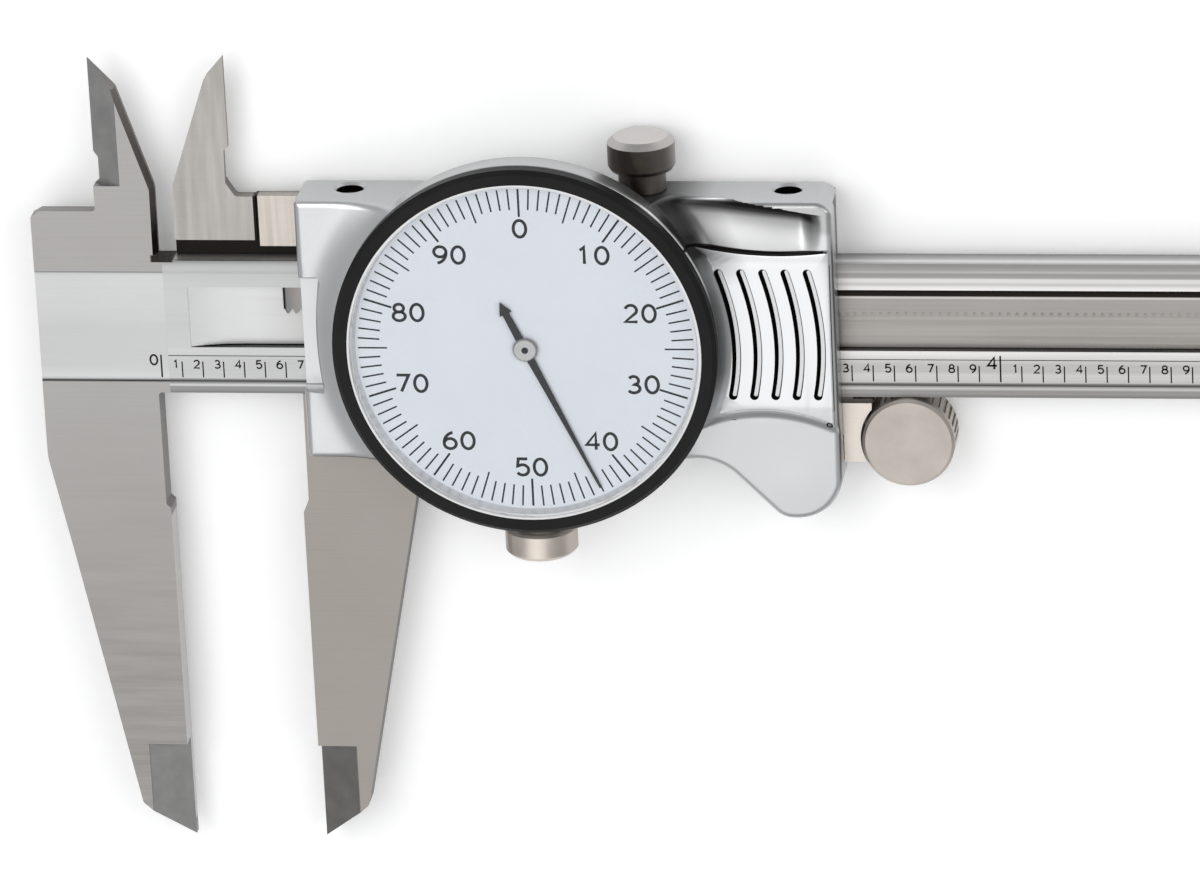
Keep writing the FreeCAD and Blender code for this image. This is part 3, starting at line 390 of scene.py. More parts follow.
def housing_block():
    """A grid over the housing's outline at the housing's level less a quarter-round fall near the
    outline. Its rows follow the scoop's lines; the right side leans; walls run down to the skirt."""
    curve = fall * (1 - np.cos(np.linspace(0, np.pi / 2, 9)))
    x = np.concatenate([left + curve, np.linspace(left + fall, right - fall, 246)[1:-1], right - curve[::-1]])
    low_line, high_line = outline_edges()
    low, high = np.interp(x, *low_line.T), np.interp(x, *high_line.T)
    first = bowed(x, pad_upper_line).clip(None, high - fall - 3.0)
    second = scoop_upper(x).clip(None, high - fall - 0.3)
    third = (second - 1.3).clip(first + 0.5, None)
    stretches = ((low + fall, first, 90), (first, third, 20), (third, second, 16), (second, high - fall, 8))
    parts = [low[:, None] + curve]
    for start, end, count in stretches:
        parts.append(start[:, None] + (end - start)[:, None] * np.linspace(0, 1, count + 1)[1:])
    parts.append(high[:, None] - curve[::-1][1:])
    y = np.concatenate(parts, axis=1)
    columns, rows = y.shape
    x = np.broadcast_to(x[:, None], y.shape)
    slope = np.gradient(low, x[:, 0])[:, None]
    from_low = (y - low[:, None]) / np.hypot(1, np.clip(slope, -6, 6))
    near = np.minimum(np.minimum(x - left, right - x), np.minimum(from_low, high[:, None] - y))
    near = np.clip(near, 0, fall)
    z = housing_level(x, y) - fall + np.sqrt(np.clip(fall ** 2 - (fall - near) ** 2, 0, None))
    leaning = lean * (y - lobe_low) / (top - lobe_low) * np.clip((x - 72) / 10.5, 0, 1)
    upper = np.stack([x - leaning, y, z], -1).reshape(-1, 3)
    i, j = np.meshgrid(np.arange(columns - 1), np.arange(rows - 1), indexing="ij")
    a, b = (i * rows + j).ravel(), ((i + 1) * rows + j).ravel()
    faces = np.stack([a, b, b + 1, a + 1], -1).tolist()
    rim = np.concatenate([np.arange(columns) * rows, (columns - 1) * rows + np.arange(1, rows),
                          np.arange(columns - 2, -1, -1) * rows + rows - 1, np.arange(rows - 2, 0, -1)])
    foot = len(upper) + np.arange(len(rim))
    faces += np.stack([rim, foot, np.roll(foot, -1), np.roll(rim, -1)], -1).tolist()
    faces.append(foot[::-1].tolist())
    lower = upper[rim].copy()
    lower[:, 2] = skirt
    return np.concatenate([upper, lower]), faces


def pad_slot(k):
    """The pad's slot k: its middle line is the parabola through three points, bowed to the right and
    ending further right, with a wall half the width to each side and round ends; it flares upwards."""
    x = pad_left + 1.9 + k * slot_pitch
    slant = slot_slant - 0.1 * k
    w = slot_width / 2
    middle = np.array([[x, slot_top], [x + slot_bow + slant, 0.7], [x + slant, slot_low]])
    t = np.linspace(0, 1, 24)[:, None]
    line = 2 * (t - 0.5) * (t - 1) * middle[0] + 4 * t * (1 - t) * middle[1] + 2 * t * (t - 0.5) * middle[2]
    along = np.gradient(line, axis=0)
    along /= np.linalg.norm(along, axis=1, keepdims=True)
    side = np.stack([-along[:, 1], along[:, 0]], -1) * w
    ends = []
    for centre, start in ((line[-1], side[-1]), (line[0], -side[0])):
        a = math.atan2(start[1], start[0]) - np.linspace(0, np.pi, 11)[1:-1]
        ends.append(centre + w * np.stack([np.cos(a), np.sin(a)], -1))
    outline = np.concatenate([line + side, ends[0], (line - side)[::-1], ends[1]])
    floor, flare = pad_level - slot_depth, pad_level - 0.2
    return prism(outline, [(floor, 0.17, 0.14), (floor + 0.05, 0.13, 0.13), (flare, 0),
                           (flare + 0.2, -0.13), (flare + 1, -0.13)])


def grip_pad():
    """The raised pad: hollow upper and lower lines, running in under the bezel, with rounded edges."""
    x = np.linspace(pad_start, right - 0.55, 44)
    lower = np.stack([x, bowed(x, pad_lower_line)], -1)
    upper = np.stack([x, bowed(x, pad_upper_line)], -1)
    return prism(np.concatenate([lower, upper[::-1]]),
                 [(rail_top + 1.2, 0), (pad_level - 0.2, 0), (pad_level - 0.06, 0.06), (pad_level, 0.2)])


def lip_recess():
    """The step at the left end over the beam, its right side bowed towards the end, with a chamfer."""
    y = np.linspace(7.5, -6.8, 30)
    edge = np.stack([left + 1.9 + 0.6 * (y / 7.2) ** 2, y], -1)
    outline = np.concatenate([edge, [(left - 2, -6.8), (left - 2, 7.5)]])
    return prism(outline[::-1], [(rail_top + 1.0, 0.15), (rail_top + 1.15, 0), (face - 0.3, 0),
                                 (face + 0.05, -0.3), (face + 4, -0.3)])


def build_housing():
    """Block, cup, clamp boss and pad as one casting, hollowed as the solid is."""
    cup = turned([(17.0, rail_top), (22.3, rail_top + 2.0), (22.85, rail_top + 2.5),
                  (cup_radius, rail_top + 3.2), (cup_radius, cup_top - 0.15), (cup_radius - 0.15, cup_top)],
                 dial_x, 0, 240)
    boss = turned_about_y([(clamp_boss - 0.2, -cup_radius - 0.5), (clamp_boss, -cup_radius - 0.3),
                           (clamp_boss, -21.2)], clamp_x, clamp_level)
    way_right = opening + jaw_width + 1
    over_cup = cup_top + 2
    cuts = [
        block(left - 2, right + 1, lower_rail - 0.05, upper_rail + 0.05, skirt - 1, rail_top),
        block(left - 2, way_right, bottom - 9, lower_rail + 1, skirt - 2, rail_top),
        block(cavity_left, cavity_right, lower_rail + 1.9, upper_rail - 4.1, rail_top - 1, cavity_roof),
        block(cavity_left, cavity_right, -plate_half, plate_half, rail_top, plate_roof),
        well(*dial_well, over_cup),
        well(*bezel_seat, over_cup),
        lip_recess(),
        peg(clamp_x, clamp_level, clamp_bore, -cup_radius - 3, clamp_end),
        block(clamp_x - clamp_gap, clamp_x + clamp_gap, -cup_radius + 0.15, clamp_end,
              clamp_level - clamp_gap, over_cup),
        peg(lock_x, screw_level, screw_bore, upper_rail - 1, top + 2),
    ]
    for x in screw_holes:
        cuts.append(turned_about_y([(screw_bore, upper_rail - 1), (screw_bore, top - 0.35),
                                    (screw_bore + 0.35, top), (screw_bore + 0.35, top + 1)], x, screw_level))
    cuts += [pad_slot(k) for k in range(pad_slots)]
    tools = [(shape, "UNION") for shape in (grip_pad(), cup, boss)]
    tools += [(shape, "DIFFERENCE") for shape in cuts]
    return joined("housing_casting", housing_block(), tools, 38)


# Figures and divisions

def strokes(figure):
    """The centre lines of a figure in a box 0.72 wide and 1 high, each an array of points."""
    lines = {
        "0": [arc(0.36, 0.5, 0.34, 0.5, 90, 450, 29)],
        "1": [np.array([(0.16, 0.8), (0.38, 1.0), (0.38, 0.0)])],
        "2": [np.concatenate([arc(0.36, 0.7, 0.31, 0.3, 165, -35), [(0.04, 0.0), (0.7, 0.0)]])],
        "3": [np.concatenate([arc(0.34, 0.745, 0.27, 0.255, 150, -90),
                              arc(0.34, 0.26, 0.33, 0.26, 80, -150)])],
        "4": [np.array([(0.54, 0.0), (0.54, 1.0), (0.02, 0.3), (0.74, 0.3)])],
        "5": [np.concatenate([[(0.64, 1.0), (0.14, 1.0), (0.09, 0.55)],
                              arc(0.36, 0.32, 0.33, 0.32, 125, -150)])],
        "6": [arc(0.36, 0.31, 0.33, 0.31, 170, 530, 25), arc(0.62, 0.36, 0.59, 0.64, 100, 180)],
        "7": [np.array([(0.03, 1.0), (0.69, 1.0), (0.26, 0.0)])],
        "8": [arc(0.36, 0.76, 0.26, 0.24, 90, 450, 25), arc(0.36, 0.27, 0.33, 0.27, 90, 450, 25)],
    }
    if figure == "9":
        return [np.array([0.72, 1.0]) - line for line in lines["6"]]
    return lines[figure]


def ribbon(line, width, level):
    """A flat stroke: the line moved half its width to each side along its normals, as a thin prism."""
    line = np.asarray(line, float)
    closed = np.allclose(line[0], line[-1])
    if closed:
        line = line[:-1]
        ahead = np.roll(line, -1, 0) - line
        behind = line - np.roll(line, 1, 0)
    else:
        ahead = np.vstack([line[1:] - line[:-1], line[-1:] - line[-2:-1]])
        behind = np.vstack([line[1:2] - line[:1], line[1:] - line[:-1]])
    ahead /= np.linalg.norm(ahead, axis=1, keepdims=True)
    behind /= np.linalg.norm(behind, axis=1, keepdims=True)
    along = ahead + behind
    along /= np.linalg.norm(along, axis=1, keepdims=True)
    reach = width / 2 / np.clip((along * ahead).sum(1, keepdims=True), 0.55, 1)
    side = np.stack([-along[:, 1], along[:, 0]], -1) * reach
    a, b = line + side, line - side
    low, high = np.full(len(line), level - print_sink), np.full(len(line), level + print_rise)
    rings = np.stack([np.column_stack([a, low]), np.column_stack([b, low]),
                      np.column_stack([b, high]), np.column_stack([a, high])], 1)
    return loft(rings, stack_wraps=closed)


def figures(text, x, y, height, weight, level, spread=1.0):
    """A number centred on x, y: each figure's strokes scaled to height, set side by side."""
    step = 0.98 * height * spread
    shapes = []
    start = x - (len(text) - 1) * step / 2
    for k, figure in enumerate(text):
        for line in strokes(figure):
            at = (line - (0.36, 0.5)) * (height * spread, height) + (start + k * step, y)
            shapes.append(ribbon(at, weight, level))
    return shapes


def dial_divisions():
    """A hundred radial bars; every fifth is longer and every tenth heavier."""
    shapes = []
    for k in range(divisions):
        a = math.pi / 2 - 2 * math.pi * k / divisions
        length = 3.5 if k % 5 == 0 else 2.6
        width = 0.26 if k % 10 == 0 else 0.2
        way = np.array([math.cos(a), math.sin(a)])
        ends = np.array([way * division_reach, way * (division_reach - length)]) + (dial_x, 0)
        shapes.append(ribbon(ends, width, dial_front))
    return together(shapes)


def dial_figures():
    """The tens, upright, on a circle inside the divisions."""
    shapes = []
    for k in range(10):
        a = math.pi / 2 - 2 * math.pi * k / 10
        reach = 15.2 if k in (0, 5) else 14.65
        shapes += figures(str(k * 10), dial_x + reach * math.cos(a), reach * math.sin(a),
                          dial_height, dial_weight, dial_front, 1.05)
    return together(shapes)


def beam_divisions():
    """Upright bars every tenth of an inch, longer at each inch, and the fine line above the figures."""
    shapes = []
    for k in range(10 * scale_inches + 1):
        x = k * tenth
        high = tenth_top if k % 10 else inch_top if k else zero_top
        shapes.append(ribbon([(x, high), (x, scale_low)], 0.16 if k % 10 else 0.2, band))
    shapes.append(ribbon([(land_start, long_line), (scale_inches * inch + 1.3, long_line)], 0.09, band))
    return together(shapes)


def beam_figures():
    """A figure just left of each tenth, and a larger one at each inch."""
    shapes = []
    for k in range(10 * scale_inches + 1):
        across, up, height, weight = tenth_figure if k % 10 else inch_figure if k else zero_figure
        shapes += figures(str(k % 10 or k // 10), k * tenth + across, up, height, weight, band)
    return together(shapes)


# Finishes

class Nodes:
    """A material's nodes, made and linked in short calls."""

    def __init__(self, name):
        self.material = bpy.data.materials.new(name)
        self.material.use_nodes = True
        self.tree = self.material.node_tree
        self.tree.nodes.clear()
        self.surface = self.tree.nodes.new("ShaderNodeBsdfPrincipled")
        output = self.tree.nodes.new("ShaderNodeOutputMaterial")
        self.tree.links.new(self.surface.outputs[0], output.inputs[0])
        self.place = self.tree.nodes.new("ShaderNodeTexCoord").outputs["Object"]

    def add(self, kind, links=(), **settings):
        """A node with its settings; links pairs an input's name or number with an output or a value."""
        node = self.tree.nodes.new(kind)
        for key, value in settings.items():
            setattr(node, key, value)
        for socket, value in links:
            if hasattr(value, "is_output"):
                self.tree.links.new(value, node.inputs[socket])
            else:
                node.inputs[socket].default_value = value
        return node

    def math(self, operation, a, b):
        """a operation b."""
        return self.add("ShaderNodeMath", [(0, a), (1, b)], operation=operation).outputs[0]

    def product(self, *values):
        """All the values multiplied together."""
        share = values[0]
        for value in values[1:]:
            share = self.math("MULTIPLY", share, value)
        return share

    def largest(self, *values):
        """The largest of the values."""
        share = values[0]
        for value in values[1:]:
            share = self.math("MAXIMUM", share, value)
        return share

    def vector(self, operation, a, b, socket=1):
        """The outputs of a vector operation; a scale is given in socket 3."""
        return self.add("ShaderNodeVectorMath", [(0, a), (socket, b)], operation=operation).outputs

    def noise(self, scale, detail, at=None):
        """Noise whose cells are 1 / scale metres along each axis, or along all when scale is a number."""
        if np.isscalar(scale):
            scale = (scale, scale, scale)
        spread = self.add("ShaderNodeMapping", [("Vector", at or self.place), ("Scale", scale)])
        node = self.add("ShaderNodeTexNoise", [("Vector", spread.outputs[0]), ("Scale", 1.0),
                                               ("Detail", detail), ("Roughness", 0.55)])
        return node.outputs[0]

    def ramp(self, value, start, end, low=0.0, high=1.0):
        """value mapped from start to end onto low to high, held at both."""
        return self.add("ShaderNodeMapRange", [("Value", value), ("From Min", start), ("From Max", end),
                                               ("To Min", low), ("To Max", high)]).outputs[0]

    def spread(self, noise, low=0.0, high=1.0):
        """A noise's usual range, 0.3 to 0.7, mapped to low to high."""
        return self.ramp(noise, 0.3, 0.7, low, high)

    def split(self, vector):
        """The x, y and z of a vector."""
        return self.add("ShaderNodeSeparateXYZ", [(0, vector)]).outputs[:3]

    def millimetres(self):
        """The place as x, y and z in millimetres from the scale's zero."""
        shifted = self.vector("SUBTRACT", self.place, tuple(zero))
        return self.split(self.vector("SCALE", shifted[0], 1000.0, 3)[0])

    def normal(self):
        """The surface's own normal as x, y and z."""
        return self.split(self.add("ShaderNodeTexCoord").outputs["Normal"])

    def distance(self, at, keep):
        """Length of the vector from at to the place, its axes multiplied by keep."""
        away = self.vector("SUBTRACT", self.place, tuple(to_frame(at)))
        flat = self.vector("MULTIPLY", away[0], keep)
        return self.add("ShaderNodeVectorMath", [(0, flat[0])], operation="LENGTH").outputs["Value"]

    def reach(self, x, y):
        """Distance in millimetres from the line along Z through x, y."""
        return self.distance((x, y, 0), (1000, 1000, 0))

    def between(self, value, low, high, fade=0.02):
        """1 where value lies between low and high, with a narrow fade."""
        above = self.ramp(value, low - fade, low + fade)
        return self.product(above, self.ramp(value, high + fade, high - fade))

    def inside(self, *ranges):
        """1 inside every (value, low, high) range."""
        return self.product(*(self.between(*one) for one in ranges))

    def mixed(self, share, a, b):
        """Colour a turning to colour b with share."""
        node = self.add("ShaderNodeMix", data_type="RGBA")
        for socket, value in ((0, share), (6, a), (7, b)):
            if hasattr(value, "is_output"):
                self.tree.links.new(value, node.inputs[socket])
            elif socket == 0:
                node.inputs[socket].default_value = value
            else:
                node.inputs[socket].default_value = (*value, 1.0)
        return node.outputs[2]

    def patch(self, colour, other, *ranges):
        """colour, but other inside every (value, low, high) range."""
        return self.mixed(self.inside(*ranges), colour, other)

    def grained(self, scale, detail, a, b):
        """Colour a turning to colour b with a noise."""
        return self.mixed(self.spread(self.noise(scale, detail)), a, b)

    def bands(self, value, stops, warm=0.0):
        """A grey that follows value through (value, screen level) stops, made warmer by warm."""
        low, high = stops[0][0], stops[-1][0]
        node = self.add("ShaderNodeValToRGB", [(0, self.ramp(value, low, high))])
        points = node.color_ramp.elements
        while len(points) < len(stops):
            points.new(0.5)
        for k, (at, level) in enumerate(stops):
            points[k].position = (at - low) / (high - low)
            points[k].color = (*tone(level, warm), 1.0)
        return node.outputs[0]

    def facing(self, colour, right=1.0, left=1.0, up=1.0, down=1.0, start=0.0):
        """Painted side shade: colour dimmed where the surface looks along +X, -X, +Y or -Y past start, by
        each side's factor.
        """
        across, along, _ = self.normal()
        keep = 1.0
        for part, sign, level in ((across, 1, right), (across, -1, left), (along, 1, up), (along, -1, down)):
            dim = self.math("MULTIPLY", self.ramp(part, sign * start, sign), 1 - level)
            keep = self.math("MULTIPLY", self.math("SUBTRACT", 1.0, dim), keep)
        return self.mixed(keep, deep_shade, colour)

    def bump(self, height, distance):
        """Turn a height into the surface's normal."""
        node = self.add("ShaderNodeBump", [("Height", height), ("Distance", distance), ("Strength", 1.0)])
        self.to("Normal", node.outputs[0])

    def to(self, socket, value):
        """Set or link one of the surface's own sockets."""
        if hasattr(value, "is_output"):
            self.tree.links.new(value, self.surface.inputs[socket])
        else:
            self.surface.inputs[socket].default_value = value


def tone(level, warm=0.0):
    """The linear colour of a grey with a screen level from 0 to 255; warm adds red and takes blue."""
    return tuple((max(0.0, level + warm * k) / 255) ** 2.2 for k in (1.0, 0.0, -1.0))


# Brushed lines along X, how far a metal counts as one, the colour of a side in full painted shade, and what
# the sides of each kind keep of their light under the painted side shade
along_x = (60.0, 5200.0, 5200.0)
metal_share = 0.85
deep_shade = (0.006, 0.006, 0.006)
steel_side_shade = {"right": 0.42, "left": 0.55, "up": 0.62, "down": 0.4}
chrome_side_shade = {"right": 0.75, "left": 0.85, "up": 0.72, "down": 0.35, "start": 0.3}
roller_side_shade = {"right": 1.0, "up": 0.95}
bracket_side_shade = {"right": 0.85, "up": 0.85, "down": 0.6}
clamp_side_shade = {"right": 0.6, "left": 0.7, "down": 0.8}


def metal(name, colour, dark, rough, smudge=90.0, depth=2e-6, sides=steel_side_shade):
    """Brushed metal: fine lines by stretched noise move the colour, roughness and normal; a slow
    noise adds handling marks. Sides are dimmed by painted shade."""
    n = Nodes(name)
    lines = n.noise(along_x, 4.0)
    marks = n.noise(smudge, 5.0)
    share = n.math("ADD", n.product(n.spread(lines), 0.45), n.product(n.spread(marks), 0.55))
    n.colour = n.mixed(share, dark, colour)
    n.to("Base Color", n.facing(n.colour, **sides))
    n.to("Metallic", metal_share)
    lined = n.spread(lines, rough - 0.07, rough + 0.07)
    n.to("Roughness", n.math("ADD", lined, n.spread(marks, -0.04, 0.05)))
    n.bump(lines, depth)
    return n


def turned_metal(name, colour, dark, rough, x, y, axis="Z", sides=steel_side_shade):
    """Metal with fine rings about a line: noise of the distance from it. Sides are dimmed by painted shade.
    """
    n = Nodes(name)
    if axis == "Z":
        far = n.distance((x, y, 0), (1, 1, 0))
    else:
        far = n.distance((x, 0, y), (1, 0, 1))
    rings = n.noise((6000.0, 1.0, 1.0), 4.0, n.add("ShaderNodeCombineXYZ", [(0, far)]).outputs[0])
    marks = n.noise(260.0, 5.0)
    n.colour = n.mixed(n.spread(marks), dark, colour)
    n.to("Base Color", n.facing(n.colour, **sides))
    n.to("Metallic", metal_share)
    ringed = n.spread(rings, rough - 0.08, rough + 0.08)
    n.to("Roughness", n.math("ADD", ringed, n.spread(marks, -0.04, 0.05)))
    n.bump(rings, 2e-6)
    return n


def coated(name, colour, other, rough, grain, depth, specular):
    """Paint, lacquer or moulded plastic: a fine noise moves its colour, roughness and normal."""
    n = Nodes(name)
    fine = n.noise(grain, 5.0)
    slow = n.noise(grain / 30, 3.0)
    share = n.product(n.math("ADD", n.spread(fine), n.spread(slow)), 0.5)
    n.to("Base Color", n.mixed(share, colour, other))
    n.to("Roughness", n.spread(fine, rough - 0.05, rough + 0.05))
    n.to("Specular IOR Level", specular)
    n.bump(fine, depth)
    return n.material


def crystal_glass():
    """Thin clear glass, nearly all let through, with a faint grey of its own."""
    n = Nodes("crystal_glass")
    n.to("Base Color", (0.5, 0.53, 0.56, 1.0))
    n.to("Roughness", n.spread(n.noise(300.0, 3.0), 0.02, 0.05))
    n.to("Alpha", 0.035)
    n.to("IOR", 1.49)
    return n.material


# Screen levels across the polished lands, which paint in their reflections and shade: (y, level) left of the
# housing, right of it and on the jaw's root; down the beam's upper edge, painted reflection and shade: (z,
# level)
left_levels = [(-8.6, 119), (-8.3, 132), (-7.95, 150), (-7.75, 140), (-7.48, 212), (-7.2, 150), (-7.02, 96),
               (-6.85, 110), (-6.62, 196), (-4.6, 194), (-3.9, 197), (-3.0, 203), (-2.6, 197), (0.0, 196),
               (0.9, 195), (3.0, 199), (4.6, 197), (6.4, 194), (6.75, 190), (6.95, 178), (7.4, 190),
               (7.9, 182), (8.3, 160), (8.55, 120)]
land_levels = [(-8.6, 124), (-8.2, 136), (-8.0, 150), (-7.65, 146), (-7.38, 200), (-7.15, 160), (-7.0, 104),
               (-6.8, 108), (-6.62, 194), (-5.7, 204), (-5.2, 188), (-4.5, 186), (-3.9, 200), (-3.4, 216),
               (-2.9, 230), (-2.6, 212), (1.0, 210), (3.1, 220), (4.8, 208), (5.15, 238), (5.5, 228),
               (5.85, 194), (6.2, 222), (6.5, 222), (6.68, 162), (7.2, 150), (7.45, 184), (7.7, 158),
               (8.1, 148), (8.55, 140)]
root_levels = [(-7.2, 178), (-7.05, 82), (-6.9, 84), (-6.72, 190), (-6.45, 208), (-5.0, 198), (-0.8, 196),
               (2.6, 203), (6.5, 205), (6.85, 190), (6.98, 124), (7.1, 150), (7.25, 178)]
edge_levels = [(-3.6, 128), (-3.0, 140), (-1.8, 190), (-1.1, 240), (-0.8, 244), (-0.4, 208), (0.05, 176)]


def land_finish(n, colour, x, y, z):
    """colour with the beam's lands and the jaw's root in long bands of painted reflection and shade, and
    faint streaks along them.
    """
    streaks = n.spread(n.noise((18.0, 3000.0, 3000.0), 4.0))
    beyond = n.ramp(x, 30.0, 31.0)
    # Painted reflection and shade in bands across the lands
    lands = n.mixed(beyond, n.bands(y, left_levels), n.bands(y, land_levels, 2.0))
    streaked = n.product(streaks, n.math("ADD", 0.04, n.product(beyond, 0.08)))
    lands = n.mixed(streaked, lands, tone(120, 3))
    # Painted reflection and shade in bands across the jaw's root
    root = n.mixed(n.product(streaks, 0.06), n.bands(y, root_levels), tone(150))
    skin = (z, -0.6, 1.0)
    colour = n.patch(colour, root, (x, -20, land_start), (y, -7.2, 7.25), skin)
    return n.patch(colour, lands, (x, land_start, past_end), (y, -half_beam - 0.1, half_beam - 0.02), skin)


def groove_finish(n, sides, x, y, z):
    """sides with the groove's grey floor, pale near the jaw and streaked further on, and painted shadow on
    its lower wall.
    """
    streaks = n.spread(n.noise((18.0, 3000.0, 3000.0), 4.0))
    floor = n.mixed(n.ramp(x, 12.0, 30.0), tone(214), n.mixed(streaks, tone(168, 4), tone(150, 4)))
    # Painted shadow on the groove's lower wall, blackest near the jaw
    wall = n.mixed(n.ramp(x, 18.0, 60.0), tone(20), tone(70, 2))
    sunk = (z, -1.3, -0.12)
    lower_edge = (y, groove_low - 0.13, groove_low + 0.07)
    sides = n.patch(sides, floor, (x, groove_start, past_end), (y, groove_low, groove_high), sunk)
    return n.patch(sides, wall, (x, groove_start + 0.4, past_end), lower_edge, sunk)


def beam_steel():
    """Ground steel of the beam and fixed jaw: the lands and groove, a plain jaw that darkens downwards,
    ground tips and blade, a painted highlight on the measuring face, painted shade on the chamfer and root,
    and an upper edge banded with painted reflection and shade."""
    n = metal("beam_steel", tone(174, 2), tone(158, 3), 0.4, smudge=55.0, depth=3e-6)
    x, y, z = n.millimetres()
    across = n.normal()[0]
    ground = 420.0
    tip = (z, -4.0, -0.04)
    jaw = n.grained((70.0, 900.0, 900.0), 4.0, tone(158, 3), tone(144, 4))
    colour = n.mixed(n.ramp(y, -10.0, -50.0), n.colour, jaw)
    colour = land_finish(n, colour, x, y, z)
    blade = n.grained(ground, 5.0, tone(164, 1), tone(180, 1))
    colour = n.patch(colour, blade, (x, -8, -3.4), (y, 17.9, 40), tip)
    jaw_tip = n.grained(ground, 5.0, tone(172, 1), tone(188, 1))
    colour = n.patch(colour, jaw_tip, (x, -6.5, 0.2), (y, -70, -54), tip)
    sides = n.facing(colour, **steel_side_shade)
    # Painted highlight on the measuring face, in place of its side shade
    measuring = n.product(n.inside((x, -3.0, 3.0), (y, -66.0, -24.6)), n.ramp(across, 0.5, 0.8))
    sides = n.mixed(measuring, sides, tone(188, 2))
    # Painted shade on the jaw's chamfer, darkest towards the top
    chamfer = n.product(n.inside((x, -6.0, 0.8), (y, 8.7, 34.0), (z, -4.0, 0.05)), n.ramp(across, 0.3, 0.6))
    sides = n.mixed(chamfer, sides, n.mixed(n.ramp(y, 15.5, 12.0), tone(108, 4), tone(44, 5)))
    sides = groove_finish(n, sides, x, y, z)
    # The upper edge banded with painted reflection and shade
    upper = (x, land_start, past_end), (y, half_beam - 0.01, half_beam + 0.1), (z, -4, 0.05)
    sides = n.patch(sides, n.bands(z, edge_levels), *upper)
    # Painted shade in the corner at the fixed jaw's root
    root = (x, -0.45, 2.2, 0.12), (y, 8.3, 9.2), (z, -4, 0.05)
    n.to("Base Color", n.patch(sides, tone(44, 4), *root))
    return n.material


def slider_steel():
    """Ground steel of the slider: a warm jaw, a brighter inside blade, a pale tongue, painted black shadow on
    the step under the blade and in the seam beside the tongue, the dark bevelled tip, and sides in painted
    shade."""
    n = metal("slider_steel", tone(162, 5), tone(146, 6), 0.42, smudge=60.0, depth=3e-6)
    x, y, z = n.millimetres()
    blade = n.grained((900.0, 70.0, 900.0), 4.0, tone(180, 4), tone(160, 4))
    colour = n.patch(n.colour, blade, (x, 0, left), (y, 9.0, 40), (z, -3.0, 1.0))
    tongue = n.grained((1500.0, 60.0, 900.0), 4.0, tone(208, 8), tone(186, 9))
    colour = n.patch(colour, tongue, (x, 12.3, left), (y, 9.0, 16.4), (z, -3.0, -1.62))
    # Painted shadow: the step under the blade and the seam beside the tongue are painted near black
    black = n.inside((x, 0, left), (y, 8.0, 10.75), (z, -5.0, -1.95))
    seam_shade = n.inside((x, 12.1, 12.72), (y, 9.0, 16.4), (z, -5.0, -1.55))
    colour = n.mixed(n.largest(black, seam_shade), colour, tone(30, 3))
    tip = n.grained(420.0, 5.0, tone(132, 2), tone(148, 2))
    colour = n.patch(colour, tip, (x, 15, 21), (y, -70, -54.9), (z, -4.0, -0.04))
    n.to("Base Color", n.facing(colour, **steel_side_shade))
    return n.material


def rack_metal():
    """The rack's steel, with a pale line and painted shadow along the groove's upper wall, and painted shade
    at its left end.
    """
    n = metal("rack_steel", tone(168, 4), tone(152, 4), 0.42, smudge=60.0)
    x, y, z = n.millimetres()
    # A pale line, then the painted shadow of the groove's upper wall
    shade = n.bands(y, [(1.5, 156), (3.85, 160), (4.0, 204), (4.12, 190), (4.25, 36), (5.2, 12)], 3.5)
    colour = n.patch(n.colour, shade, (x, left, past_end), (z, -0.5, 0.0))
    # Painted shade at the rack's left end
    end = n.mixed(n.ramp(x, 15.75, 15.55), tone(128, 2), tone(34))
    colour = n.mixed(n.ramp(x, left, 15.9), colour, end)
    n.to("Base Color", n.facing(colour, **steel_side_shade))
    return n.material


# Painted shade across the scoop's crease: (distance under its upper line, screen level)
scoop_shade_levels = [(-0.05, 168), (0.03, 58), (0.78, 54), (1.0, 110), (1.25, 156), (2.0, 184), (3.5, 204)]


def scoop_finish(n, colour, x, y, z):
    """colour with the scoop's rim darkened by painted shade, and its crease in painted shade: the distance
    under the upper line, scaled up to the right so that the crease narrows, read through the scoop's levels."""
    line = n.math("ADD", y, n.product(x, -scoop_slope))
    under = n.product(n.math("SUBTRACT", scoop_height, line), n.ramp(x, 62.0, 80.0, 0.38, 0.74))
    crease = n.bands(under, scoop_shade_levels)
    # Painted shade darkens the scoop's rim
    rim = (x, 60.0, 83.0, 1.0), (y, 13.4, 17.8, 0.4), (z, face - 0.35, face + 0.5, 0.1)
    hollow = (x, 60.5, 80.6, 0.8), (y, 10.9, 17.1, 0.2), (z, 0.5, face - 0.1, 0.08)
    return n.patch(n.patch(colour, tone(186), *rim), crease, *hollow)


def bezel_rings(n, colour, x, y, reach):
    """colour with a dark ring of painted shade on the shoulder and a fainter one on the pad, fading with the
    distance from the bezel."""
    over = n.product(n.ramp(reach, 28.4, 23.8), n.inside((x, 58.0, 76.0, 1.5), (y, 9.0, 19.0, 2.0)))
    beside = n.product(n.ramp(reach, 24.9, 23.3), n.inside((x, 62.0, 76.0, 1.5), (y, -6.0, 9.0, 2.5)))
    colour = n.mixed(n.product(over, 0.92), colour, tone(46))
    return n.mixed(n.product(beside, 0.7), colour, tone(70))


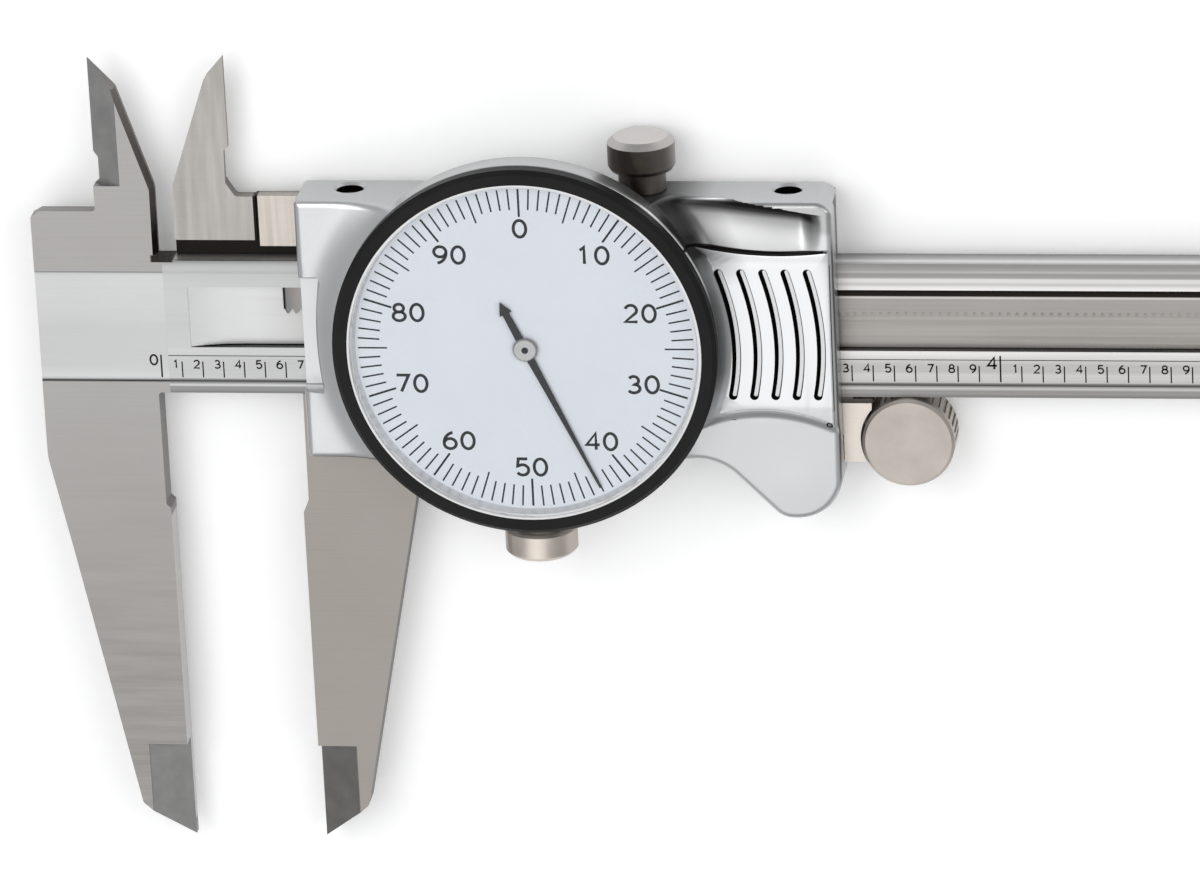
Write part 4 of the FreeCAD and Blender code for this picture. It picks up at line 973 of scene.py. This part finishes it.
def casting_blacks(n, x, y, z):
    """How black the casting is painted: painted shade on its slots' walls, the pad's upper wall and the line
    above it, the right edge and the screw bores, and the pin's ring with a paler middle."""
    across, along, front = n.normal()
    cut = (z, pad_level - slot_depth - 0.1, pad_level - 0.01, 0.008)
    # Painted shade on the slots' walls
    slots = n.product(n.inside((x, 66.9, 82.0), (y, -9.0, 9.6), cut), n.ramp(front, 0.95, 0.75))
    # Painted shade on the pad's upper wall
    wall = n.inside((x, 63.8, 81.7), (y, 10.0, 13.2), (z, 1.0, pad_level - 0.02))
    wall = n.product(wall, n.ramp(along, 0.5, 0.7))
    crown_x, crown_y, bow = pad_upper_line
    away = n.math("SUBTRACT", x, crown_x)
    above = n.math("SUBTRACT", y, n.math("ADD", crown_y, n.product(bow, away, away)))
    # Painted shadow line above the pad
    line = n.inside((above, -0.04, 0.24, 0.05), (x, 63.0, 81.6, 0.4), (z, 1.0, cup_top))
    # Painted shade along the right edge
    edge = n.inside((across, 0.72, 0.92, 0.05), (x, right - 1.4, right + 0.2), (y, -19.0, 12.0, 1.0),
                    (z, 1.0, 5.0))
    from_pin = n.reach(*pin_at)
    ring = n.math("ADD", 0.4, n.product(n.ramp(from_pin, 0.16, 0.26), 0.6))
    pin = n.product(n.ramp(from_pin, 0.46, 0.38), ring, n.ramp(front, 0.5, 0.7))
    # Painted shade in the screw bores
    around_bore = (y, upper_rail - 0.2, top - 0.3), (z, screw_level - 1.7, screw_level + 1.7)
    bores = [n.inside((x, hole - 1.7, hole + 1.7), *around_bore) for hole in screw_holes]
    return n.largest(slots, wall, line, n.product(edge, 0.7), pin, *bores)


def housing_chrome():
    """Satin chrome of the casting: an even fine grain, lighter on the pad and darker on the finger rest, with
    painted shade on its sides, in the scoop, in rings beside the bezel and in black lines, and a painted
    highlight on the lip beside the bezel."""
    n = Nodes("satin_chrome")
    x, y, z = n.millimetres()
    reach = n.reach(dial_x, 0)
    grain = n.noise(2600.0, 4.0)
    colour = n.grained(45.0, 3.0, tone(212, -1), tone(222, -1))
    colour = n.mixed(n.product(n.spread(grain), 0.06), colour, tone(170))
    pad = (x, 67.5, 81.9, 0.25), (y, -8.4, 10.0, 0.25), (z, face + 0.2, face + 1.0)
    colour = n.patch(colour, tone(234, -1), *pad)
    rest = (x, 62.0, 83.0, 1.0), (y, -24.0, -10.5, 0.6), (z, 1.0, 5.0)
    colour = n.patch(colour, tone(205, -1), *rest)
    colour = scoop_finish(n, colour, x, y, z)
    colour = bezel_rings(n, colour, x, y, reach)
    # Painted highlight on the cup's rim beside the bezel
    lip = (x, 56.0, 72.0, 1.5), (y, 7.0, 20.0, 1.5), (z, 5.75, 6.5), (reach, 22.95, 23.4)
    sides = n.patch(n.facing(colour, **chrome_side_shade), tone(250), *lip)
    n.to("Base Color", n.mixed(casting_blacks(n, x, y, z), sides, tone(24, 3)))
    n.to("Metallic", metal_share)
    n.to("Roughness", n.spread(grain, 0.31, 0.35))
    n.bump(grain, 1e-7)
    return n.material


def knob_metal():
    """Dark gunmetal of the lock screw, with painted light: lighter where it looks right, paler where it looks
    up.
    """
    n = turned_metal("gunmetal", tone(66, 5), tone(46, 4), 0.34, lock_x, screw_level, "Y", {})
    across, up, _ = n.normal()
    # Painted light: lighter where the knob looks right, paler still where it looks up
    colour = n.mixed(n.ramp(across, 0.2, 1.0), n.colour, tone(120, 4))
    n.to("Base Color", n.mixed(n.ramp(up, 0.1, 0.95), colour, tone(196, 3)))
    return n.material


def pinion_steel():
    """The centre pinion's steel, blackened on the end that shows in the hub."""
    n = metal("pinion_steel", tone(200), tone(184), 0.32)
    shown = n.inside((n.millimetres()[2], dial_front + 0.2, bezel_top + 1))
    end = n.product(shown, n.ramp(n.reach(dial_x, 0), 0.5, 0.36))
    n.to("Base Color", n.mixed(end, n.facing(n.colour, **steel_side_shade), tone(34)))
    return n.material


def hub_metal():
    """Turned steel of the pointer's hub: a dark arbor end in the middle, a pale ring and a rim darkened by
    painted shade.
    """
    n = turned_metal("hub_steel", tone(190, 2), tone(168, 3), 0.36, dial_x, 0, sides={})
    # Dark arbor end, pale disc, and a rim darkened by painted shade
    levels = [(0.0, 46), (0.28, 52), (0.42, 176), (1.15, 188), (1.35, 150), (1.6, 92)]
    rings = n.bands(n.reach(dial_x, 0), levels)
    n.to("Base Color", n.mixed(0.25, rings, n.colour))
    return n.material


# The stage, the lamps and the camera, in metres; a lamp is its name, place, size and power

floor_reach = 0.9
floor_level = -0.0002
floor_glow = 0.16
sky_strength = 0.42
lamp_aim = (-0.09, 0.0, 0.0)
lamps = (("over_left", (-0.34, 0.30, 0.60), 0.5, 1.9),
         ("over_right", (0.40, 0.20, 0.60), 0.5, 1.3),
         ("front", (-0.21, -0.31, 0.78), 0.85, 1.7))
view_turn, view_tilt, view_roll = 8.416, 21.650, -2.712
view_aim = (53.01, -15.33, 0)
view_distance = 0.9797
sensor_width = 36.0
photo_focal = 8140
photo_width = 1200


def paper_floor():
    """A pale floor under the caliper, which shines faintly to the camera and in what reflects it."""
    corners = [(-floor_reach, -floor_reach, floor_level), (floor_reach, -floor_reach, floor_level),
               (floor_reach, floor_reach, floor_level), (-floor_reach, floor_reach, floor_level)]
    mesh = bpy.data.meshes.new("floor")
    mesh.from_pydata(corners, [], [(0, 1, 2, 3)])
    floor = bpy.data.objects.new("floor", mesh)
    bpy.context.scene.collection.objects.link(floor)
    n = Nodes("floor_paper")
    n.to("Base Color", n.grained(900.0, 2.0, (0.93, 0.93, 0.93), (0.95, 0.95, 0.95)))
    n.to("Roughness", 0.9)
    ray = n.add("ShaderNodeLightPath").outputs
    seen = n.largest(ray["Is Camera Ray"], ray["Is Glossy Ray"], ray["Is Transmission Ray"])
    n.to("Emission Color", (1.0, 1.0, 1.0, 1.0))
    n.to("Emission Strength", n.product(seen, floor_glow))
    floor.data.materials.append(n.material)


def studio():
    """A faint world and large soft lamps, each turned towards the caliper."""
    world = bpy.data.worlds.new("studio")
    bpy.context.scene.world = world
    world.use_nodes = True
    sky = world.node_tree.nodes["Background"]
    sky.inputs["Color"].default_value = (0.98, 0.99, 1.0, 1.0)
    sky.inputs["Strength"].default_value = sky_strength
    for name, at, size, power in lamps:
        lamp = bpy.data.lights.new(name, "AREA")
        lamp.size = size
        lamp.energy = power
        obj = bpy.data.objects.new(name, lamp)
        aim = Vector(lamp_aim) - Vector(at)
        obj.matrix_world = Matrix.Translation(at) @ aim.to_track_quat("-Z", "Y").to_matrix().to_4x4()
        bpy.context.scene.collection.objects.link(obj)


def camera():
    """The photograph's view: turned to the right, raised and rolled a little, far off with a long lens.
    Its back axis comes from turn and tilt, and the other two are turned about it by the roll."""
    turn, tilt, roll = (math.radians(v) for v in (view_turn, view_tilt, view_roll))
    back = np.array([math.sin(turn) * math.cos(tilt), math.sin(tilt), math.cos(turn) * math.cos(tilt)])
    across = np.cross((0, 1, 0), back)
    across /= np.linalg.norm(across)
    up = np.cross(back, across)
    across_rolled = math.cos(roll) * across + math.sin(roll) * up
    up_rolled = -math.sin(roll) * across + math.cos(roll) * up
    at = to_frame(view_aim) + view_distance * back
    lens = bpy.data.cameras.new("photo_view")
    lens.sensor_width = sensor_width
    lens.lens = photo_focal / photo_width * sensor_width
    lens.clip_start = 0.05
    lens.clip_end = 20.0
    obj = bpy.data.objects.new("photo_view", lens)
    m = Matrix.Identity(4)
    for row in range(3):
        for column, axis in enumerate((across_rolled, up_rolled, back, at)):
            m[row][column] = axis[row]
    obj.matrix_world = m
    bpy.context.scene.collection.objects.link(obj)
    bpy.context.scene.camera = obj


# Build

satin = housing_chrome()
cover_chrome = metal("cover_chrome", tone(216), tone(204), 0.3, sides=chrome_side_shade).material
rod_steel = metal("rod_steel", tone(200), tone(184), 0.32).material
dark_screw = turned_metal("dark_screw", tone(46), tone(30), 0.4, dial_x, 0).material
roller_nickel = turned_metal("nickel", tone(186, 8), tone(170, 8), 0.36, *roller_at,
                             sides=roller_side_shade).material
bracket_nickel = metal("bracket_nickel", tone(220, 9), tone(206, 9), 0.36, sides=bracket_side_shade).material
clamp_nickel = turned_metal("clamp_nickel", tone(222, 10), tone(206, 11), 0.36, clamp_x, clamp_level, "Y",
                            clamp_side_shade).material
brass = metal("brass", (0.72, 0.54, 0.26), (0.60, 0.43, 0.19), 0.34, sides={}).material
bronze = metal("bush_bronze", (0.55, 0.36, 0.20), (0.45, 0.28, 0.15), 0.36, sides={}).material
blued = metal("spring_steel", (0.16, 0.18, 0.26), (0.10, 0.12, 0.2), 0.3, sides={}).material
bright = turned_metal("bright_ring", tone(228), tone(216), 0.44, dial_x, 0, sides={}).material
bezel_black = coated("bezel_black", tone(26), tone(36), 0.42, 5200.0, 3e-6, 0.14)
dial_white = coated("dial_white", (0.72, 0.755, 0.815), (0.75, 0.785, 0.84), 0.5, 4200.0, 1e-6, 0.3)
print_black = coated("print_black", tone(26), tone(40), 0.55, 5200.0, 1e-6, 0.1)
etched_black = coated("etched_black", tone(24), tone(44), 0.6, 4200.0, 1e-6, 0.1)
pointer_dark = coated("pointer_dark", tone(30), tone(42), 0.42, 5200.0, 1e-6, 0.2)

node_finish = {
    "beam": beam_steel(), "slider_frame": slider_steel(), "rack": rack_metal(), "end_stop_screws": dark_screw,
    "dial_housing": satin, "housing_screws": dark_screw, "gib": brass, "gib_screws": dark_screw,
    "rear_cover": cover_chrome, "rear_cover_screws": dark_screw, "depth_rod": rod_steel,
    "depth_rod_screws": dark_screw, "roller_bracket": bracket_nickel, "bracket_screw": dark_screw,
    "roller_axle": roller_nickel, "thumb_roller": roller_nickel, "movement_plate": brass,
    "movement_plate_screws": dark_screw, "movement_pillars": brass, "movement_bridge": brass,
    "bridge_screws": dark_screw, "pivot_bushes": bronze, "hairspring": blued, "hairspring_stud": brass,
    "bezel_spring_wire": blued, "bezel_clamp_shoe": brass, "bezel_ring": bezel_black,
    "crystal": crystal_glass(), "crystal_spacer": bright, "dial_plate": dial_white,
    "centre_pinion": pinion_steel(), "pointer": pointer_dark, "pointer_hub": hub_metal(),
    "rack_pinion": rod_steel, "drive_wheel": brass, "drive_wheel_collet": brass,
    "take_up_wheel": brass, "take_up_collet": brass, "take_up_arbor": rod_steel,
    "lock_screw": knob_metal(), "bezel_clamp_screw": clamp_nickel,
}
for node, finish in node_finish.items():
    mesh = nodes[node].data
    mesh.materials.clear()
    mesh.materials.append(finish)

place(build_housing(), satin, "slider", ["dial_housing"])
place(mesh_object("dial_divisions", dial_divisions()), print_black, "bezel")
place(mesh_object("dial_figures", dial_figures()), print_black, "bezel")
place(mesh_object("beam_divisions", beam_divisions()), etched_black, "beam")
place(mesh_object("beam_figures", beam_figures()), etched_black, "beam")

paper_floor()
studio()
camera()
bpy.context.scene.view_settings.view_transform = "Standard"
